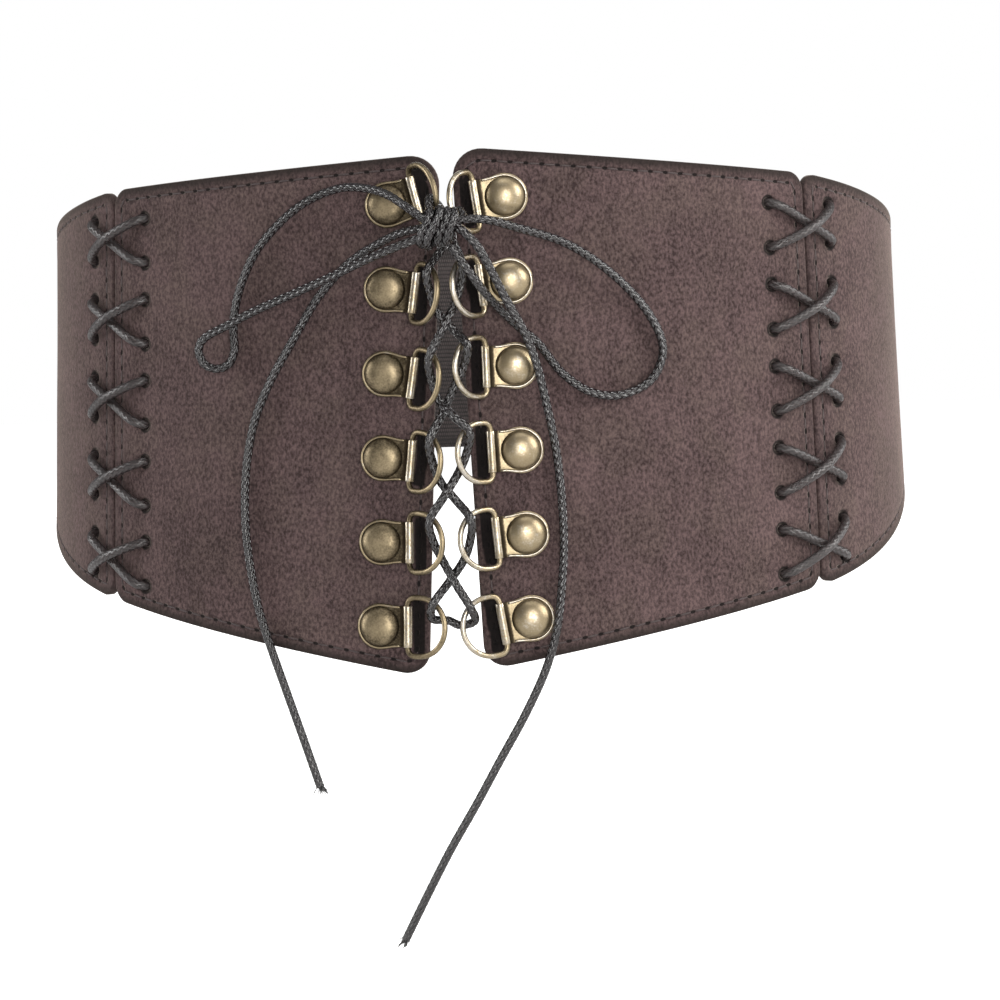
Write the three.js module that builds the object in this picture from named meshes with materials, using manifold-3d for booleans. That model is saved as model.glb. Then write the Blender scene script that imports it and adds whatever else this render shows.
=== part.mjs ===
// Corset belt, laced down the front, in the shape it has when it is worn.
// Millimetres, +Z up, the front faces -Y and +X is the right of the front view.
// Origin: the centre of the waist loop, at the middle of the front's height.
// A place on the belt is [along, up, lift]: arc length from the front centre (+ to the right),
// height, and distance outside the outer face of the cloth.
import * as THREE from 'three';
import { mergeVertices } from 'three/addons/utils/BufferGeometryUtils.js';
import Module from 'manifold-3d';

const wasm = await Module();
wasm.setup();

// Waist loop, on the outer face of the panels at the origin's height
const waistHalfWidth = 114.5;
const waistHalfDepth = 86.5;
const flareSlope = 0.034; // growth of the loop for each millimetre downwards

// Cloth and clearances
const panelWall = 2.4;
const bandWall = 1.6;
const pieceGap = 0.3;

// Front panels
const seamAt = 99.6;
const seamGap = 0.7;
const frontHeight = 133;
const seamTopDrop = 7.8;
const seamBottomRise = 18.9;
const gapHalfTop = 1.8;
const gapHalfBottom = 6.7;
const frontSlip = 0.8; // the laced edges sit off level: right panel up, left panel down
const frontCornerTop = 8;
const frontCornerBottom = 7;
const seamCorner = 4.5;
const cornerSteps = 3;
const frontBays = 10;

// Side panels
const sideLength = 72;
const sideTopDrop = 16.2;
const sideBottomRise = 29;
const sideTopEase = 0.68; // 1 is a straight edge, 0 a full parabola
const sideBottomEase = 0.46;
const rearCorner = 7;
const sideBays = 8;

// Back band
const bandLap = 12;
const bandEdgeInset = 1.5;
const bandBays = 26;

// Side lacing
const crossCount = 5;
const frontHoleInset = 12;
const sideHoleInset = 9.6;
const crossTopDrop = 13.2;
const frontCrossBottomRise = 9.5;
const sideCrossBottomRise = 11.9;
const frontHoleSpread = 11.5;
const sideHoleSpread = 10.1;
const laceHoleRadius = 2.05;
const holeSides = 6;
const sideLaceSides = 5;
const sideLaceRadius = 1.2;
const laceSeat = 0.8; // slack between the side lace and the cloth
const laceShoulder = 1.9; // run beside a hole before the lace leaves the cloth

// Lace hardware
const ringRows = 6;
const rowTopDrop = 12.9;
const rowBottomRise = 14.4;
const rivetInset = 12.6;
const tabEndRadius = 5.85;
const tabWidth = 10.4;
const tabThickness = 1.1;
const barrelReach = 7.3;
const barrelWall = 0.4;
const ringWireRadius = 0.72;
const ringHeight = 16.2;
const ringDepth = 11.5;
const ringCorner = 2;
const tipClearance = 0.55;
const arcSteps = 4; // a tab's arcs and holes have twice this many flats
const ringSides = 5;
const ringCornerBends = 2;
const ringBowBends = 6;
const rivetSides = 8;
const capRadius = 5;
const capHeight = 2.7;
// The cap's dome from its rim to its crown, as shares of its radius and height
const capDome = [
  { out: 1, up: 0 },
  { out: 0.92, up: 0.45 },
  { out: 0.58, up: 0.88 },
  { out: 0, up: 1 },
];
const shankRadius = 1.5;
const backCapRadius = 3.6;
const backCapHeight = 0.8;

// How each tab has settled: degrees that its ring hangs below level
const rowSettle = [
  { left: -14, right: 8 },
  { left: 8, right: 7 },
  { left: 9, right: 1 },
  { left: 6, right: 2 },
  { left: 1, right: 5 },
  { left: 1, right: 9 },
];

// Front lace and bow, one cord
const cordRadius = 1.1;
const cordClearance = 0.5;
const cordSides = 6;
const knotHalfWidth = 4.1;
const knotHalfDepth = 3.5;
const knotHalfHeight = 4.9;
const knotPlace = [-0.5, 47, 14.3];
const knotSides = 8;
const knotCoreShare = 0.82;
const knotWraps = [
  { turn: 0.2, tilt: 0.35, height: 1.1 },
  { turn: -0.1, tilt: 0.3, height: -1.4 },
];

// The bow's route, chosen by hand: [along, up, lift] in millimetres
const loopRightRoute = [
  [4.2, 48.9, 14.4], [8.6, 48.8, 13.4], [17.8, 46.2, 9.5], [30.1, 41.7, 5.5], [42.8, 32.6, 3],
  [51.4, 22.3, 2], [53.8, 14.7, 1.8], [50.6, 7.6, 1.8], [42.3, 3.9, 1.8], [34.7, 5, 1.8],
  [27.8, 10, 1.8], [22, 17.6, 2], [17.2, 21.8, 3], [12.6, 26.4, 6], [8.4, 31.8, 9.8],
  [5, 37.2, 12.4], [2.3, 41.8, 13.2],
];
const loopLeftRoute = [
  [-5.1, 49.6, 14.2], [-8.6, 52.6, 12.4], [-13, 55.3, 9], [-18.2, 57, 6.2], [-26.2, 57.4, 3.5],
  [-37.3, 53.4, 2], [-48.6, 43.6, 1.8], [-54.5, 33.6, 1.7], [-57.8, 23, 1.7], [-60.4, 15.2, 1.8],
  [-64, 11.4, 3], [-66.4, 13.4, 5.4], [-64.2, 18, 6.6], [-58.5, 22.4, 6.4], [-49.7, 26.6, 6.2],
  [-38.5, 31, 7], [-27.5, 35.4, 8.8], [-14.6, 40.8, 12.2], [-5.2, 44.5, 14.8],
];
const tailRightRoute = [
  [4, 44.9, 14.4], [6.4, 41.6, 13.8], [10.4, 35, 11], [14, 29, 8.8], [18.2, 20.6, 7],
  [20.9, 13.4, 5.2], [23.4, 3.2, 3.4], [25.8, -9.5, 1.9], [26.9, -22, 1.8], [27, -34, 1.8],
  [26, -44.4, 2.5], [24.9, -52, 3.2], [23.6, -58, 2.9], [21.4, -65, 2], [16.4, -75.6, 1.4],
  [10.1, -86.9, 0.8], [4, -98, 0.2], [-2.6, -109.4, -0.6], [-8.6, -120.8, -1.4],
  [-14.5, -132.4, -2],
];
const tailLeftRoute = [
  [-5.2, 46.9, 11.4], [-9.6, 46, 9.6], [-14.8, 43.9, 7.2], [-23.8, 39, 3.6], [-32.6, 30.6, 2],
  [-40.8, 18.2, 1.7], [-46.6, 8.6, 1.7], [-50.7, -0.7, 1.7], [-53, -11, 1.7],
  [-53.7, -20.9, 1.7], [-53.4, -30, 1.7], [-52.2, -38.7, 1.7], [-50.4, -47.4, 1.7],
  [-47.7, -56.4, 1.5], [-42.7, -71.7, 0.4], [-39.2, -83, -0.8], [-35.9, -93.9, -2],
];
const bowSteps = { loopRight: 22, loopLeft: 24, tailRight: 19, tailLeft: 16 };

// Where the lace meets a ring, in degrees round its bow from the tip, + upwards
const laceOverAt = 48;
const laceThroughAt = 5;
const laceBehindAt = -38;
const lastLaceThroughAt = 34;
const lastLaceBehindAt = 18;
const topLaceOverAt = -8;
const laceThroughInset = 4.6;
const crossingHalf = 1.4; // half the distance between the two strands at a crossing
const laceEndAside = 1.4;
const laceEndClearance = 1;

const suede = new THREE.MeshStandardMaterial({ color: 0x5b4b48, roughness: 0.95, metalness: 0 });
const elastic = new THREE.MeshStandardMaterial({ color: 0x3a302e, roughness: 0.9, metalness: 0 });
const brass = new THREE.MeshStandardMaterial({ color: 0x9a8660, roughness: 0.38, metalness: 1 });
const waxedCord = new THREE.MeshStandardMaterial({ color: 0x3d3636, roughness: 0.5, metalness: 0 });

const belt = new THREE.Group();
belt.name = 'corset_belt';

function addPiece(name, geometry, material, matrix = new THREE.Matrix4()) {
  const piece = new THREE.Mesh(geometry, material);
  piece.name = name;
  matrix.decompose(piece.position, piece.quaternion, piece.scale);
  belt.add(piece);
}

const mergeDistance = 1e-4;

// Merges a geometry's shared vertices, drops the slivers at poles and turns its faces outwards
function closedBody(geometry) {
  geometry.deleteAttribute('normal');
  geometry.deleteAttribute('uv');
  const merged = mergeVertices(geometry, mergeDistance);
  const point = merged.getAttribute('position');
  const [a, b, c] = [new THREE.Vector3(), new THREE.Vector3(), new THREE.Vector3()];
  const kept = [];
  let volume = 0;
  for (let i = 0; i < merged.index.count; i += 3) {
    const [p, q, r] = [merged.index.getX(i), merged.index.getX(i + 1), merged.index.getX(i + 2)];
    if (p === q || q === r || r === p) continue;
    kept.push([p, q, r]);
    a.fromBufferAttribute(point, p);
    b.fromBufferAttribute(point, q);
    c.fromBufferAttribute(point, r);
    volume += a.dot(b.cross(c));
  }
  merged.setIndex(kept.flatMap(([p, q, r]) => (volume < 0 ? [p, r, q] : [p, q, r])));
  return merged;
}

function toSolid(geometry) {
  return new wasm.Manifold(new wasm.Mesh({
    numProp: 3,
    vertProperties: Float32Array.from(geometry.getAttribute('position').array),
    triVerts: Uint32Array.from(geometry.index.array),
  }));
}

function toGeometry(solid) {
  const { vertProperties, triVerts } = solid.getMesh();
  const geometry = new THREE.BufferGeometry();
  geometry.setAttribute('position', new THREE.Float32BufferAttribute(vertProperties, 3));
  geometry.setIndex(Array.from(triVerts));
  return geometry;
}

// A route whose rings fall exactly on its points
class Route extends THREE.Curve {
  constructor(points, closed = false) {
    super();
    this.points = points;
    this.closed = closed;
    this.spans = closed ? points.length : points.length - 1;
  }

  getPoint(share, target = new THREE.Vector3()) {
    const wrapped = this.closed ? share - Math.floor(share) : THREE.MathUtils.clamp(share, 0, 1);
    const place = wrapped * this.spans;
    const from = Math.min(Math.floor(place + 1e-6), this.spans - 1);
    const to = (from + 1) % this.points.length;
    return target.lerpVectors(this.points[from], this.points[to], place - from);
  }

  getTangent(share, target = new THREE.Vector3()) {
    const half = 0.5 / this.spans;
    return target.copy(this.getPoint(share + half)).sub(this.getPoint(share - half)).normalize();
  }

  getPointAt(share, target) {
    return this.getPoint(share, target);
  }

  getTangentAt(share, target) {
    return this.getTangent(share, target);
  }
}

function closedTube(points, radius, sides) {
  const route = new Route(points, true);
  return closedBody(new THREE.TubeGeometry(route, points.length, radius, sides, true));
}

function openTube(points, radius, sides) {
  const round = new THREE.EllipseCurve(0, 0, radius, radius);
  const section = new THREE.Shape(round.getPoints(sides).slice(0, sides));
  const route = new Route(points);
  const options = { extrudePath: route, steps: route.spans, bevelEnabled: false };
  return closedBody(new THREE.ExtrudeGeometry(section, options));
}

// Arc length round the waist loop, tabled once from the front centre to the back
const loopTable = [{ angle: 0, arc: 0 }];
const loopTableSteps = 720;
for (let i = 1; i <= loopTableSteps; i++) {
  const angle = (i / loopTableSteps) * Math.PI;
  const middle = angle - Math.PI / loopTableSteps / 2;
  const speed = Math.hypot(waistHalfWidth * Math.cos(middle), waistHalfDepth * Math.sin(middle));
  loopTable.push({ angle, arc: loopTable[i - 1].arc + (speed * Math.PI) / loopTableSteps });
}
const halfLoop = loopTable[loopTableSteps].arc;

function loopAngle(along) {
  const turns = Math.round(along / (2 * halfLoop));
  const rest = along - turns * 2 * halfLoop;
  const next = Math.max(1, loopTable.findIndex((row) => row.arc >= Math.abs(rest)));
  const [low, high] = [loopTable[next - 1], loopTable[next]];
  const share = (Math.abs(rest) - low.arc) / (high.arc - low.arc);
  const angle = low.angle + share * (high.angle - low.angle);
  return Math.sign(rest) * angle + turns * 2 * Math.PI;
}

function onBelt(along, up, lift = 0) {
  const angle = loopAngle(along);
  const grow = lift - flareSlope * up;
  const x = (waistHalfWidth + grow) * Math.sin(angle);
  const y = -(waistHalfDepth + grow) * Math.cos(angle);
  return new THREE.Vector3(x, y, up);
}

// Frame on the outer face: x along the belt, y up, z outwards
function beltFrame(along, up) {
  const reach = 0.5;
  const x = onBelt(along + reach, up).sub(onBelt(along - reach, up)).normalize();
  const rise = onBelt(along, up + reach).sub(onBelt(along, up - reach));
  const z = x.clone().cross(rise).normalize();
  const y = z.clone().cross(x);
  return new THREE.Matrix4().makeBasis(x, y, z).setPosition(onBelt(along, up));
}

// A wall wrapped round the loop, lofted through columns of { top, bottom } places
function wrappedWall(columns, outerLift, wall) {
  const innerLift = outerLift - wall;
  const corners = columns.flatMap(({ top, bottom }) => [
    onBelt(...top, outerLift),
    onBelt(...bottom, outerLift),
    onBelt(...bottom, innerLift),
    onBelt(...top, innerLift),
  ]);
  const faces = [0, 3, 2, 0, 2, 1];
  for (let first = 0; first + 4 < corners.length; first += 4) {
    for (let side = 0; side < 4; side++) {
      const [a, b] = [first + side, first + ((side + 1) % 4)];
      faces.push(a, b, b + 4, a, b + 4, a + 4);
    }
  }
  const last = corners.length - 4;
  faces.push(last, last + 1, last + 2, last, last + 2, last + 3);
  const geometry = new THREE.BufferGeometry().setFromPoints(corners);
  geometry.setIndex(faces);
  return closedBody(geometry);
}

// Round corner: how far in from the edge, and how far below the full height
function corner(radius) {
  const rows = [];
  for (let i = 0; i <= cornerSteps; i++) {
    const angle = (i / cornerSteps) * (Math.PI / 2);
    rows.push({ inset: radius * (1 - Math.cos(angle)), drop: radius * (1 - Math.sin(angle)) });
  }
  return rows;
}

function cutHoles(geometry, places, radius) {
  const pins = places.map(([along, up]) => {
    const pin = new THREE.CylinderGeometry(radius, radius, panelWall * 3, holeSides);
    pin.rotateX(Math.PI / 2);
    pin.applyMatrix4(beltFrame(along, up));
    return toSolid(closedBody(pin));
  });
  return wasm.Manifold.difference([toSolid(geometry), ...pins]);
}

const frontTop = frontHeight / 2;
const frontBottom = -frontHeight / 2;
const seamTop = frontTop - seamTopDrop;
const seamBottom = frontBottom + seamBottomRise;

// Off-level shift of a front panel, full at the laced edge and none at the seam
function slipAt(along) {
  return Math.sign(along) * frontSlip * (1 - Math.abs(along) / seamAt);
}

function gapHalfAt(up) {
  return THREE.MathUtils.mapLinear(up, frontTop, frontBottom, gapHalfTop, gapHalfBottom);
}

function frontColumns(side) {
  const topAt = (along) => frontTop - seamTopDrop * (along / seamAt);
  const bottomAt = (along) => frontBottom + seamBottomRise * (along / seamAt);
  const seamEdge = seamAt - seamGap / 2;
  const rows = [];
  const topCorner = corner(frontCornerTop);
  const bottomCorner = corner(frontCornerBottom);
  const seamCorners = corner(seamCorner);
  const add = (topAlong, topFall, bottomAlong, bottomLift) => rows.push({
    top: [topAlong, topAt(topAlong) - topFall],
    bottom: [bottomAlong, bottomAt(bottomAlong) + bottomLift],
  });
  topCorner.forEach((top, i) => {
    const bottom = bottomCorner[i];
    add(gapHalfTop + top.inset, top.drop, gapHalfBottom + bottom.inset, bottom.drop);
  });
  for (let i = 1; i < frontBays; i++) {
    const share = i / frontBays;
    const from = [gapHalfTop + frontCornerTop, gapHalfBottom + frontCornerBottom];
    const [topAlong, bottomAlong] = from.map(
      (start) => THREE.MathUtils.lerp(start, seamEdge - seamCorner, share));
    add(topAlong, 0, bottomAlong, 0);
  }
  seamCorners.reverse().forEach(({ inset, drop }) => {
    add(seamEdge - inset, drop, seamEdge - inset, drop);
  });
  const placed = ([along, up]) => [side * along, up + slipAt(side * along)];
  return rows.map(({ top, bottom }) => ({ top: placed(top), bottom: placed(bottom) }));
}

const sideStart = seamAt + seamGap / 2;
const sideEnd = sideStart + sideLength;
const eased = (share, ease) => ease * share + (1 - ease) * share * share;
const sideShare = (along) => (along - sideStart) / sideLength;
const sideTopAt = (along) => seamTop - sideTopDrop * eased(sideShare(along), sideTopEase);
const sideBottomAt = (along) => (
  seamBottom + sideBottomRise * eased(sideShare(along), sideBottomEase));

function sideColumns(side) {
  const rows = [];
  const add = (along, inset) => rows.push({
    top: [side * along, sideTopAt(along) - inset],
    bottom: [side * along, sideBottomAt(along) + inset],
  });
  corner(seamCorner).forEach(({ inset, drop }) => add(sideStart + inset, drop));
  for (let i = 1; i < sideBays; i++) {
    const share = i / sideBays;
    add(THREE.MathUtils.lerp(sideStart + seamCorner, sideEnd - rearCorner, share), 0);
  }
  corner(rearCorner).reverse().forEach(({ inset, drop }) => add(sideEnd - inset, drop));
  return rows;
}

// Holes of the side lacing: each cross has an upper and a lower hole in each panel
function crossHole(side, row, panel, level) {
  const onFront = panel === 'front';
  const along = onFront ? seamAt - frontHoleInset : seamAt + sideHoleInset;
  const bottomRise = onFront ? frontCrossBottomRise : sideCrossBottomRise;
  const pitch = (seamTop - seamBottom - crossTopDrop - bottomRise) / (crossCount - 1);
  const spread = onFront ? frontHoleSpread : sideHoleSpread;
  return [side * along, seamTop - crossTopDrop - row * pitch + (level * spread) / 2];
}

function holesOf(side, panel) {
  const places = [];
  for (let row = 0; row < crossCount; row++) {
    places.push(crossHole(side, row, panel, 1), crossHole(side, row, panel, -1));
  }
  return places;
}

const rowPitch = (frontHeight - rowTopDrop - rowBottomRise) / (ringRows - 1);
const rowHeight = (row) => frontTop - rowTopDrop - row * rowPitch;
const rivetAlong = (row) => gapHalfAt(rowHeight(row)) + rivetInset;

function rivetPlace(side, row) {
  const along = side * rivetAlong(row);
  return [along, rowHeight(row) + slipAt(along)];
}

function settleOf(side, row) {
  const settle = side < 0 ? rowSettle[row].left : rowSettle[row].right;
  return THREE.MathUtils.degToRad(settle);
}

// Frame of one tab: origin on the cloth at the rivet, x towards the ring, z outwards
function tabFrame(side, row) {
  const settle = settleOf(side, row);
  const turn = side < 0 ? -settle : Math.PI + settle;
  return beltFrame(...rivetPlace(side, row)).multiply(new THREE.Matrix4().makeRotationZ(turn));
}

const barrelBore = ringWireRadius + pieceGap;
const barrelRadius = barrelBore + barrelWall;
const barrelLift = pieceGap + barrelRadius;
const tabTop = pieceGap + tabThickness;
const ringArc = ringHeight / 2 - ringWireRadius;
const ringArcAt = ringDepth - ringWireRadius - ringArc;

// A ring stands up from the cloth until its tip just meets the belt's centre line
function ringFrame(side, row) {
  const lean = Math.cos(settleOf(side, row));
  const room = rivetAlong(row) - tipClearance - barrelReach * lean;
  const tilt = Math.acos(Math.min(1, room / (ringArcAt * lean + ringArc + ringWireRadius)));
  return tabFrame(side, row)
    .multiply(new THREE.Matrix4().makeTranslation(barrelReach, 0, barrelLift))
    .multiply(new THREE.Matrix4().makeRotationY(-tilt));
}

function ringGeometry() {
  const points = [];
  const addArc = (x, y, radius, from, to, steps) => {
    for (let i = 0; i <= steps; i++) {
      const angle = THREE.MathUtils.degToRad(THREE.MathUtils.lerp(from, to, i / steps));
      points.push(new THREE.Vector3(x + radius * Math.cos(angle), y + radius * Math.sin(angle), 0));
    }
  };
  const cornerAt = ringArc - ringCorner;
  addArc(ringCorner, -cornerAt, ringCorner, 180, 270, ringCornerBends);
  addArc(ringArcAt, 0, ringArc, -90, 90, ringBowBends);
  addArc(ringCorner, cornerAt, ringCorner, 90, 180, ringCornerBends);
  return closedTube(points, ringWireRadius, ringSides);
}

// Side view of the tab: the flat plate and the barrel rolled from it
function tabGeometry() {
  const profile = new THREE.Shape();
  const meet = Math.PI + Math.asin((barrelLift - tabTop) / barrelRadius);
  profile.moveTo(-tabEndRadius, pieceGap);
  profile.lineTo(barrelReach, pieceGap);
  profile.absarc(barrelReach, barrelLift, barrelRadius, -Math.PI / 2, meet, false);
  profile.lineTo(-tabEndRadius, tabTop);
  const bore = new THREE.Path();
  bore.absarc(barrelReach, barrelLift, barrelBore, 0, 2 * Math.PI, true);
  profile.holes.push(bore);
  const rolled = new THREE.ExtrudeGeometry(profile, {
    depth: 2 * tabEndRadius, bevelEnabled: false, curveSegments: arcSteps });
  rolled.translate(0, 0, -tabEndRadius);
  rolled.rotateX(Math.PI / 2);

  const plan = new THREE.Shape();
  const halfWidth = tabWidth / 2;
  const shoulder = Math.asin(halfWidth / tabEndRadius);
  plan.absarc(0, 0, tabEndRadius, shoulder, 2 * Math.PI - shoulder, false);
  plan.lineTo(barrelReach + barrelRadius, -halfWidth);
  plan.lineTo(barrelReach + barrelRadius, halfWidth);
  const hole = new THREE.Path();
  hole.absarc(0, 0, shankRadius + pieceGap, 0, 2 * Math.PI, true);
  plan.holes.push(hole);
  const outline = new THREE.ExtrudeGeometry(plan, {
    depth: 3 * barrelRadius, bevelEnabled: false, curveSegments: arcSteps });
  return toGeometry(toSolid(closedBody(rolled)).intersect(toSolid(closedBody(outline))));
}

// Cap outside, shank through tab and panel, back cap inside
function rivetGeometry() {
  const capSeat = tabTop + pieceGap;
  const backSeat = -panelWall - pieceGap;
  const profile = [
    [0, backSeat - backCapHeight], [backCapRadius, backSeat - backCapHeight],
    [backCapRadius, backSeat], [shankRadius, backSeat], [shankRadius, capSeat],
    ...capDome.map(({ out, up }) => [capRadius * out, capSeat + capHeight * up]),
  ].map(([radius, height]) => new THREE.Vector2(radius, height));
  const lathe = new THREE.LatheGeometry(profile, rivetSides);
  lathe.rotateX(Math.PI / 2);
  return closedBody(lathe);
}

// A place on a ring's bow: degrees from its tip, distance inside the wire, lift off its plane
function ringPlace(side, row, degrees, inset, lift) {
  const angle = THREE.MathUtils.degToRad(degrees);
  const radius = ringArc - inset;
  const up = side < 0 ? 1 : -1;
  const x = ringArcAt + radius * Math.cos(angle);
  const place = new THREE.Vector3(x, up * radius * Math.sin(angle), lift);
  return place.applyMatrix4(ringFrame(side, row));
}

// One strand goes over each ring's wire, in through the ring and out behind its bow
function strandPlaces(side, row) {
  const clear = ringWireRadius + cordRadius + cordClearance;
  const top = row === 0;
  const last = row === ringRows - 1;
  const overAt = top ? topLaceOverAt : laceOverAt;
  const throughAt = last ? lastLaceThroughAt : laceThroughAt;
  const behindAt = last ? lastLaceBehindAt : laceBehindAt;
  return [
    ringPlace(side, row, overAt, 0, clear),
    ringPlace(side, row, throughAt, laceThroughInset, 0),
    ringPlace(side, row, behindAt, 0, -clear),
  ];
}

function strand(startSide, crossingLift) {
  const points = [];
  for (let row = 0; row < ringRows; row++) {
    const side = row % 2 ? -startSide : startSide;
    const places = strandPlaces(side, row);
    if (row > 0) {
      const middle = points[points.length - 1].clone().lerp(places[0], 0.5);
      points.push(middle.add(new THREE.Vector3(0, -crossingLift, 0)));
    }
    points.push(...places);
  }
  return points;
}

const knotCentre = onBelt(...knotPlace);

function frontLaceGeometry() {
  const down = strand(-1, crossingHalf);
  const up = strand(1, -crossingHalf).reverse();
  const endRise = knotHalfHeight + laceEndClearance;
  const endAt = (side) => knotCentre.clone().add(
    new THREE.Vector3(side * laceEndAside, 0, endRise));
  return openTube([endAt(-1), ...down, ...up, endAt(1)], cordRadius, cordSides);
}

function sideLaceGeometry(side) {
  // Seen from the front, the strand that climbs from left to right lies on top
  const overFrom = side > 0 ? 'front' : 'side';
  const seat = sideLaceRadius + laceSeat;
  const overLift = seat + 2 * sideLaceRadius + pieceGap;
  const throughWall = [-panelWall - laceSeat / 2, laceSeat / 2];
  const points = [];

  const toward = (from, to) => {
    const length = Math.hypot(to[0] - from[0], to[1] - from[1]);
    const share = laceShoulder / length;
    return from.map((value, axis) => value + (to[axis] - value) * share);
  };
  const through = (hole, outwards) => {
    const lifts = outwards ? throughWall : [...throughWall].reverse();
    lifts.forEach((lift) => points.push(onBelt(...hole, lift)));
  };
  const cross = (from, to, lift) => {
    const middle = from.map((value, axis) => (value + to[axis]) / 2);
    through(from, true);
    points.push(onBelt(...toward(from, to), seat));
    points.push(onBelt(...middle, lift));
    points.push(onBelt(...toward(to, from), seat));
    through(to, false);
  };
  const behind = (from, to) => {
    points.push(onBelt(...toward(from, to), -panelWall - seat));
    points.push(onBelt(...toward(to, from), -panelWall - seat));
  };

  // Down one way and back up the other, changing panel in front at every cross
  const rows = Array.from({ length: crossCount }, (_, row) => row);
  const down = rows.map((row) => [row, 1]);
  const up = rows.map((row) => [row, -1]).reverse();
  const legs = [...down, ...up].map(([row, level]) => {
    const [panel, other] = row % 2 ? ['side', 'front'] : ['front', 'side'];
    const over = (level < 0) === (panel === overFrom);
    return {
      from: crossHole(side, row, panel, level),
      to: crossHole(side, row, other, -level),
      lift: over ? overLift : seat,
    };
  });
  legs.forEach((leg, i) => {
    cross(leg.from, leg.to, leg.lift);
    behind(leg.to, legs[(i + 1) % legs.length].from);
  });
  return closedTube(points, sideLaceRadius, sideLaceSides);
}

function knotGeometry() {
  const core = new THREE.SphereGeometry(1, knotSides, knotSides);
  core.scale(knotHalfWidth * knotCoreShare, knotHalfDepth * knotCoreShare, knotHalfHeight);
  const wrapAt = ({ turn, tilt, height }) => {
    const wrap = new THREE.TorusGeometry(
      knotHalfDepth - cordRadius, cordRadius, cordSides, knotSides);
    wrap.rotateY(tilt);
    wrap.rotateZ(turn);
    wrap.scale(knotHalfWidth / knotHalfDepth, 1, 1);
    wrap.translate(0, 0, height);
    return toSolid(closedBody(wrap));
  };
  const wraps = knotWraps.map(wrapAt);
  const solid = wasm.Manifold.union([toSolid(closedBody(core)), ...wraps]);
  return toGeometry(solid);
}

// The cord's chosen places, smoothed and cut into equal steps
function bowCord(route, steps) {
  const curve = new THREE.CatmullRomCurve3(route.map((place) => onBelt(...place)));
  return openTube(curve.getSpacedPoints(steps), cordRadius, cordSides);
}

const tab = tabGeometry();
const rivet = rivetGeometry();
const ring = ringGeometry();

for (const [sideName, side] of [['left', -1], ['right', 1]]) {
  const rivetHoles = Array.from({ length: ringRows }, (_, row) => rivetPlace(side, row));
  const frontWall = wrappedWall(frontColumns(side), 0, panelWall);
  const laced = toGeometry(cutHoles(frontWall, holesOf(side, 'front'), laceHoleRadius));
  const riveted = cutHoles(laced, rivetHoles, shankRadius + pieceGap);
  addPiece(`front_panel_${sideName}`, toGeometry(riveted), suede);

  const sideWall = wrappedWall(sideColumns(side), 0, panelWall);
  const sidePanel = cutHoles(sideWall, holesOf(side, 'side'), laceHoleRadius);
  addPiece(`side_panel_${sideName}`, toGeometry(sidePanel), suede);
  addPiece(`side_lace_${sideName}`, sideLaceGeometry(side), waxedCord);

  for (let row = 0; row < ringRows; row++) {
    const number = row + 1;
    addPiece(`tab_${sideName}_${number}`, tab, brass, tabFrame(side, row));
    addPiece(`rivet_${sideName}_${number}`, rivet, brass, tabFrame(side, row));
    addPiece(`d_ring_${sideName}_${number}`, ring, brass, ringFrame(side, row));
  }
}

// The band lies inside the side panels' rear ends and closes the loop behind
const bandStart = sideEnd - bandLap;
const bandTop = sideTopAt(sideEnd) - bandEdgeInset;
const bandBottom = sideBottomAt(sideEnd) + bandEdgeInset;
const bandColumns = Array.from({ length: bandBays + 1 }, (_, i) => {
  const along = THREE.MathUtils.lerp(bandStart, 2 * halfLoop - bandStart, i / bandBays);
  return { top: [along, bandTop], bottom: [along, bandBottom] };
});
addPiece('back_band', wrappedWall(bandColumns, -panelWall - pieceGap, bandWall), elastic);

addPiece('front_lace', frontLaceGeometry(), waxedCord);
addPiece('knot', knotGeometry(), waxedCord, new THREE.Matrix4().setPosition(knotCentre));
addPiece('bow_loop_right', bowCord(loopRightRoute, bowSteps.loopRight), waxedCord);
addPiece('bow_loop_left', bowCord(loopLeftRoute, bowSteps.loopLeft), waxedCord);
addPiece('tail_right', bowCord(tailRightRoute, bowSteps.tailRight), waxedCord);
addPiece('tail_left', bowCord(tailLeftRoute, bowSteps.tailLeft), waxedCord);

export default belt;
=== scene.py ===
# %% [markdown]
# # A laced corset belt
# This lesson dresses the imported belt: two front panels laced over a gap, two side panels joined
# to them by crosses of cord, and an elastic band behind. Every piece is cut flat as the real one
# is, and then wrapped round the waist, so the numbers stay those of a sewing pattern.
# Lengths are in metres, +Z is up, and the laced front faces -Y.

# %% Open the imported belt
import math
import random

import bmesh
import bpy
import numpy as np
from mathutils import Matrix, Vector, noise


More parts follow.
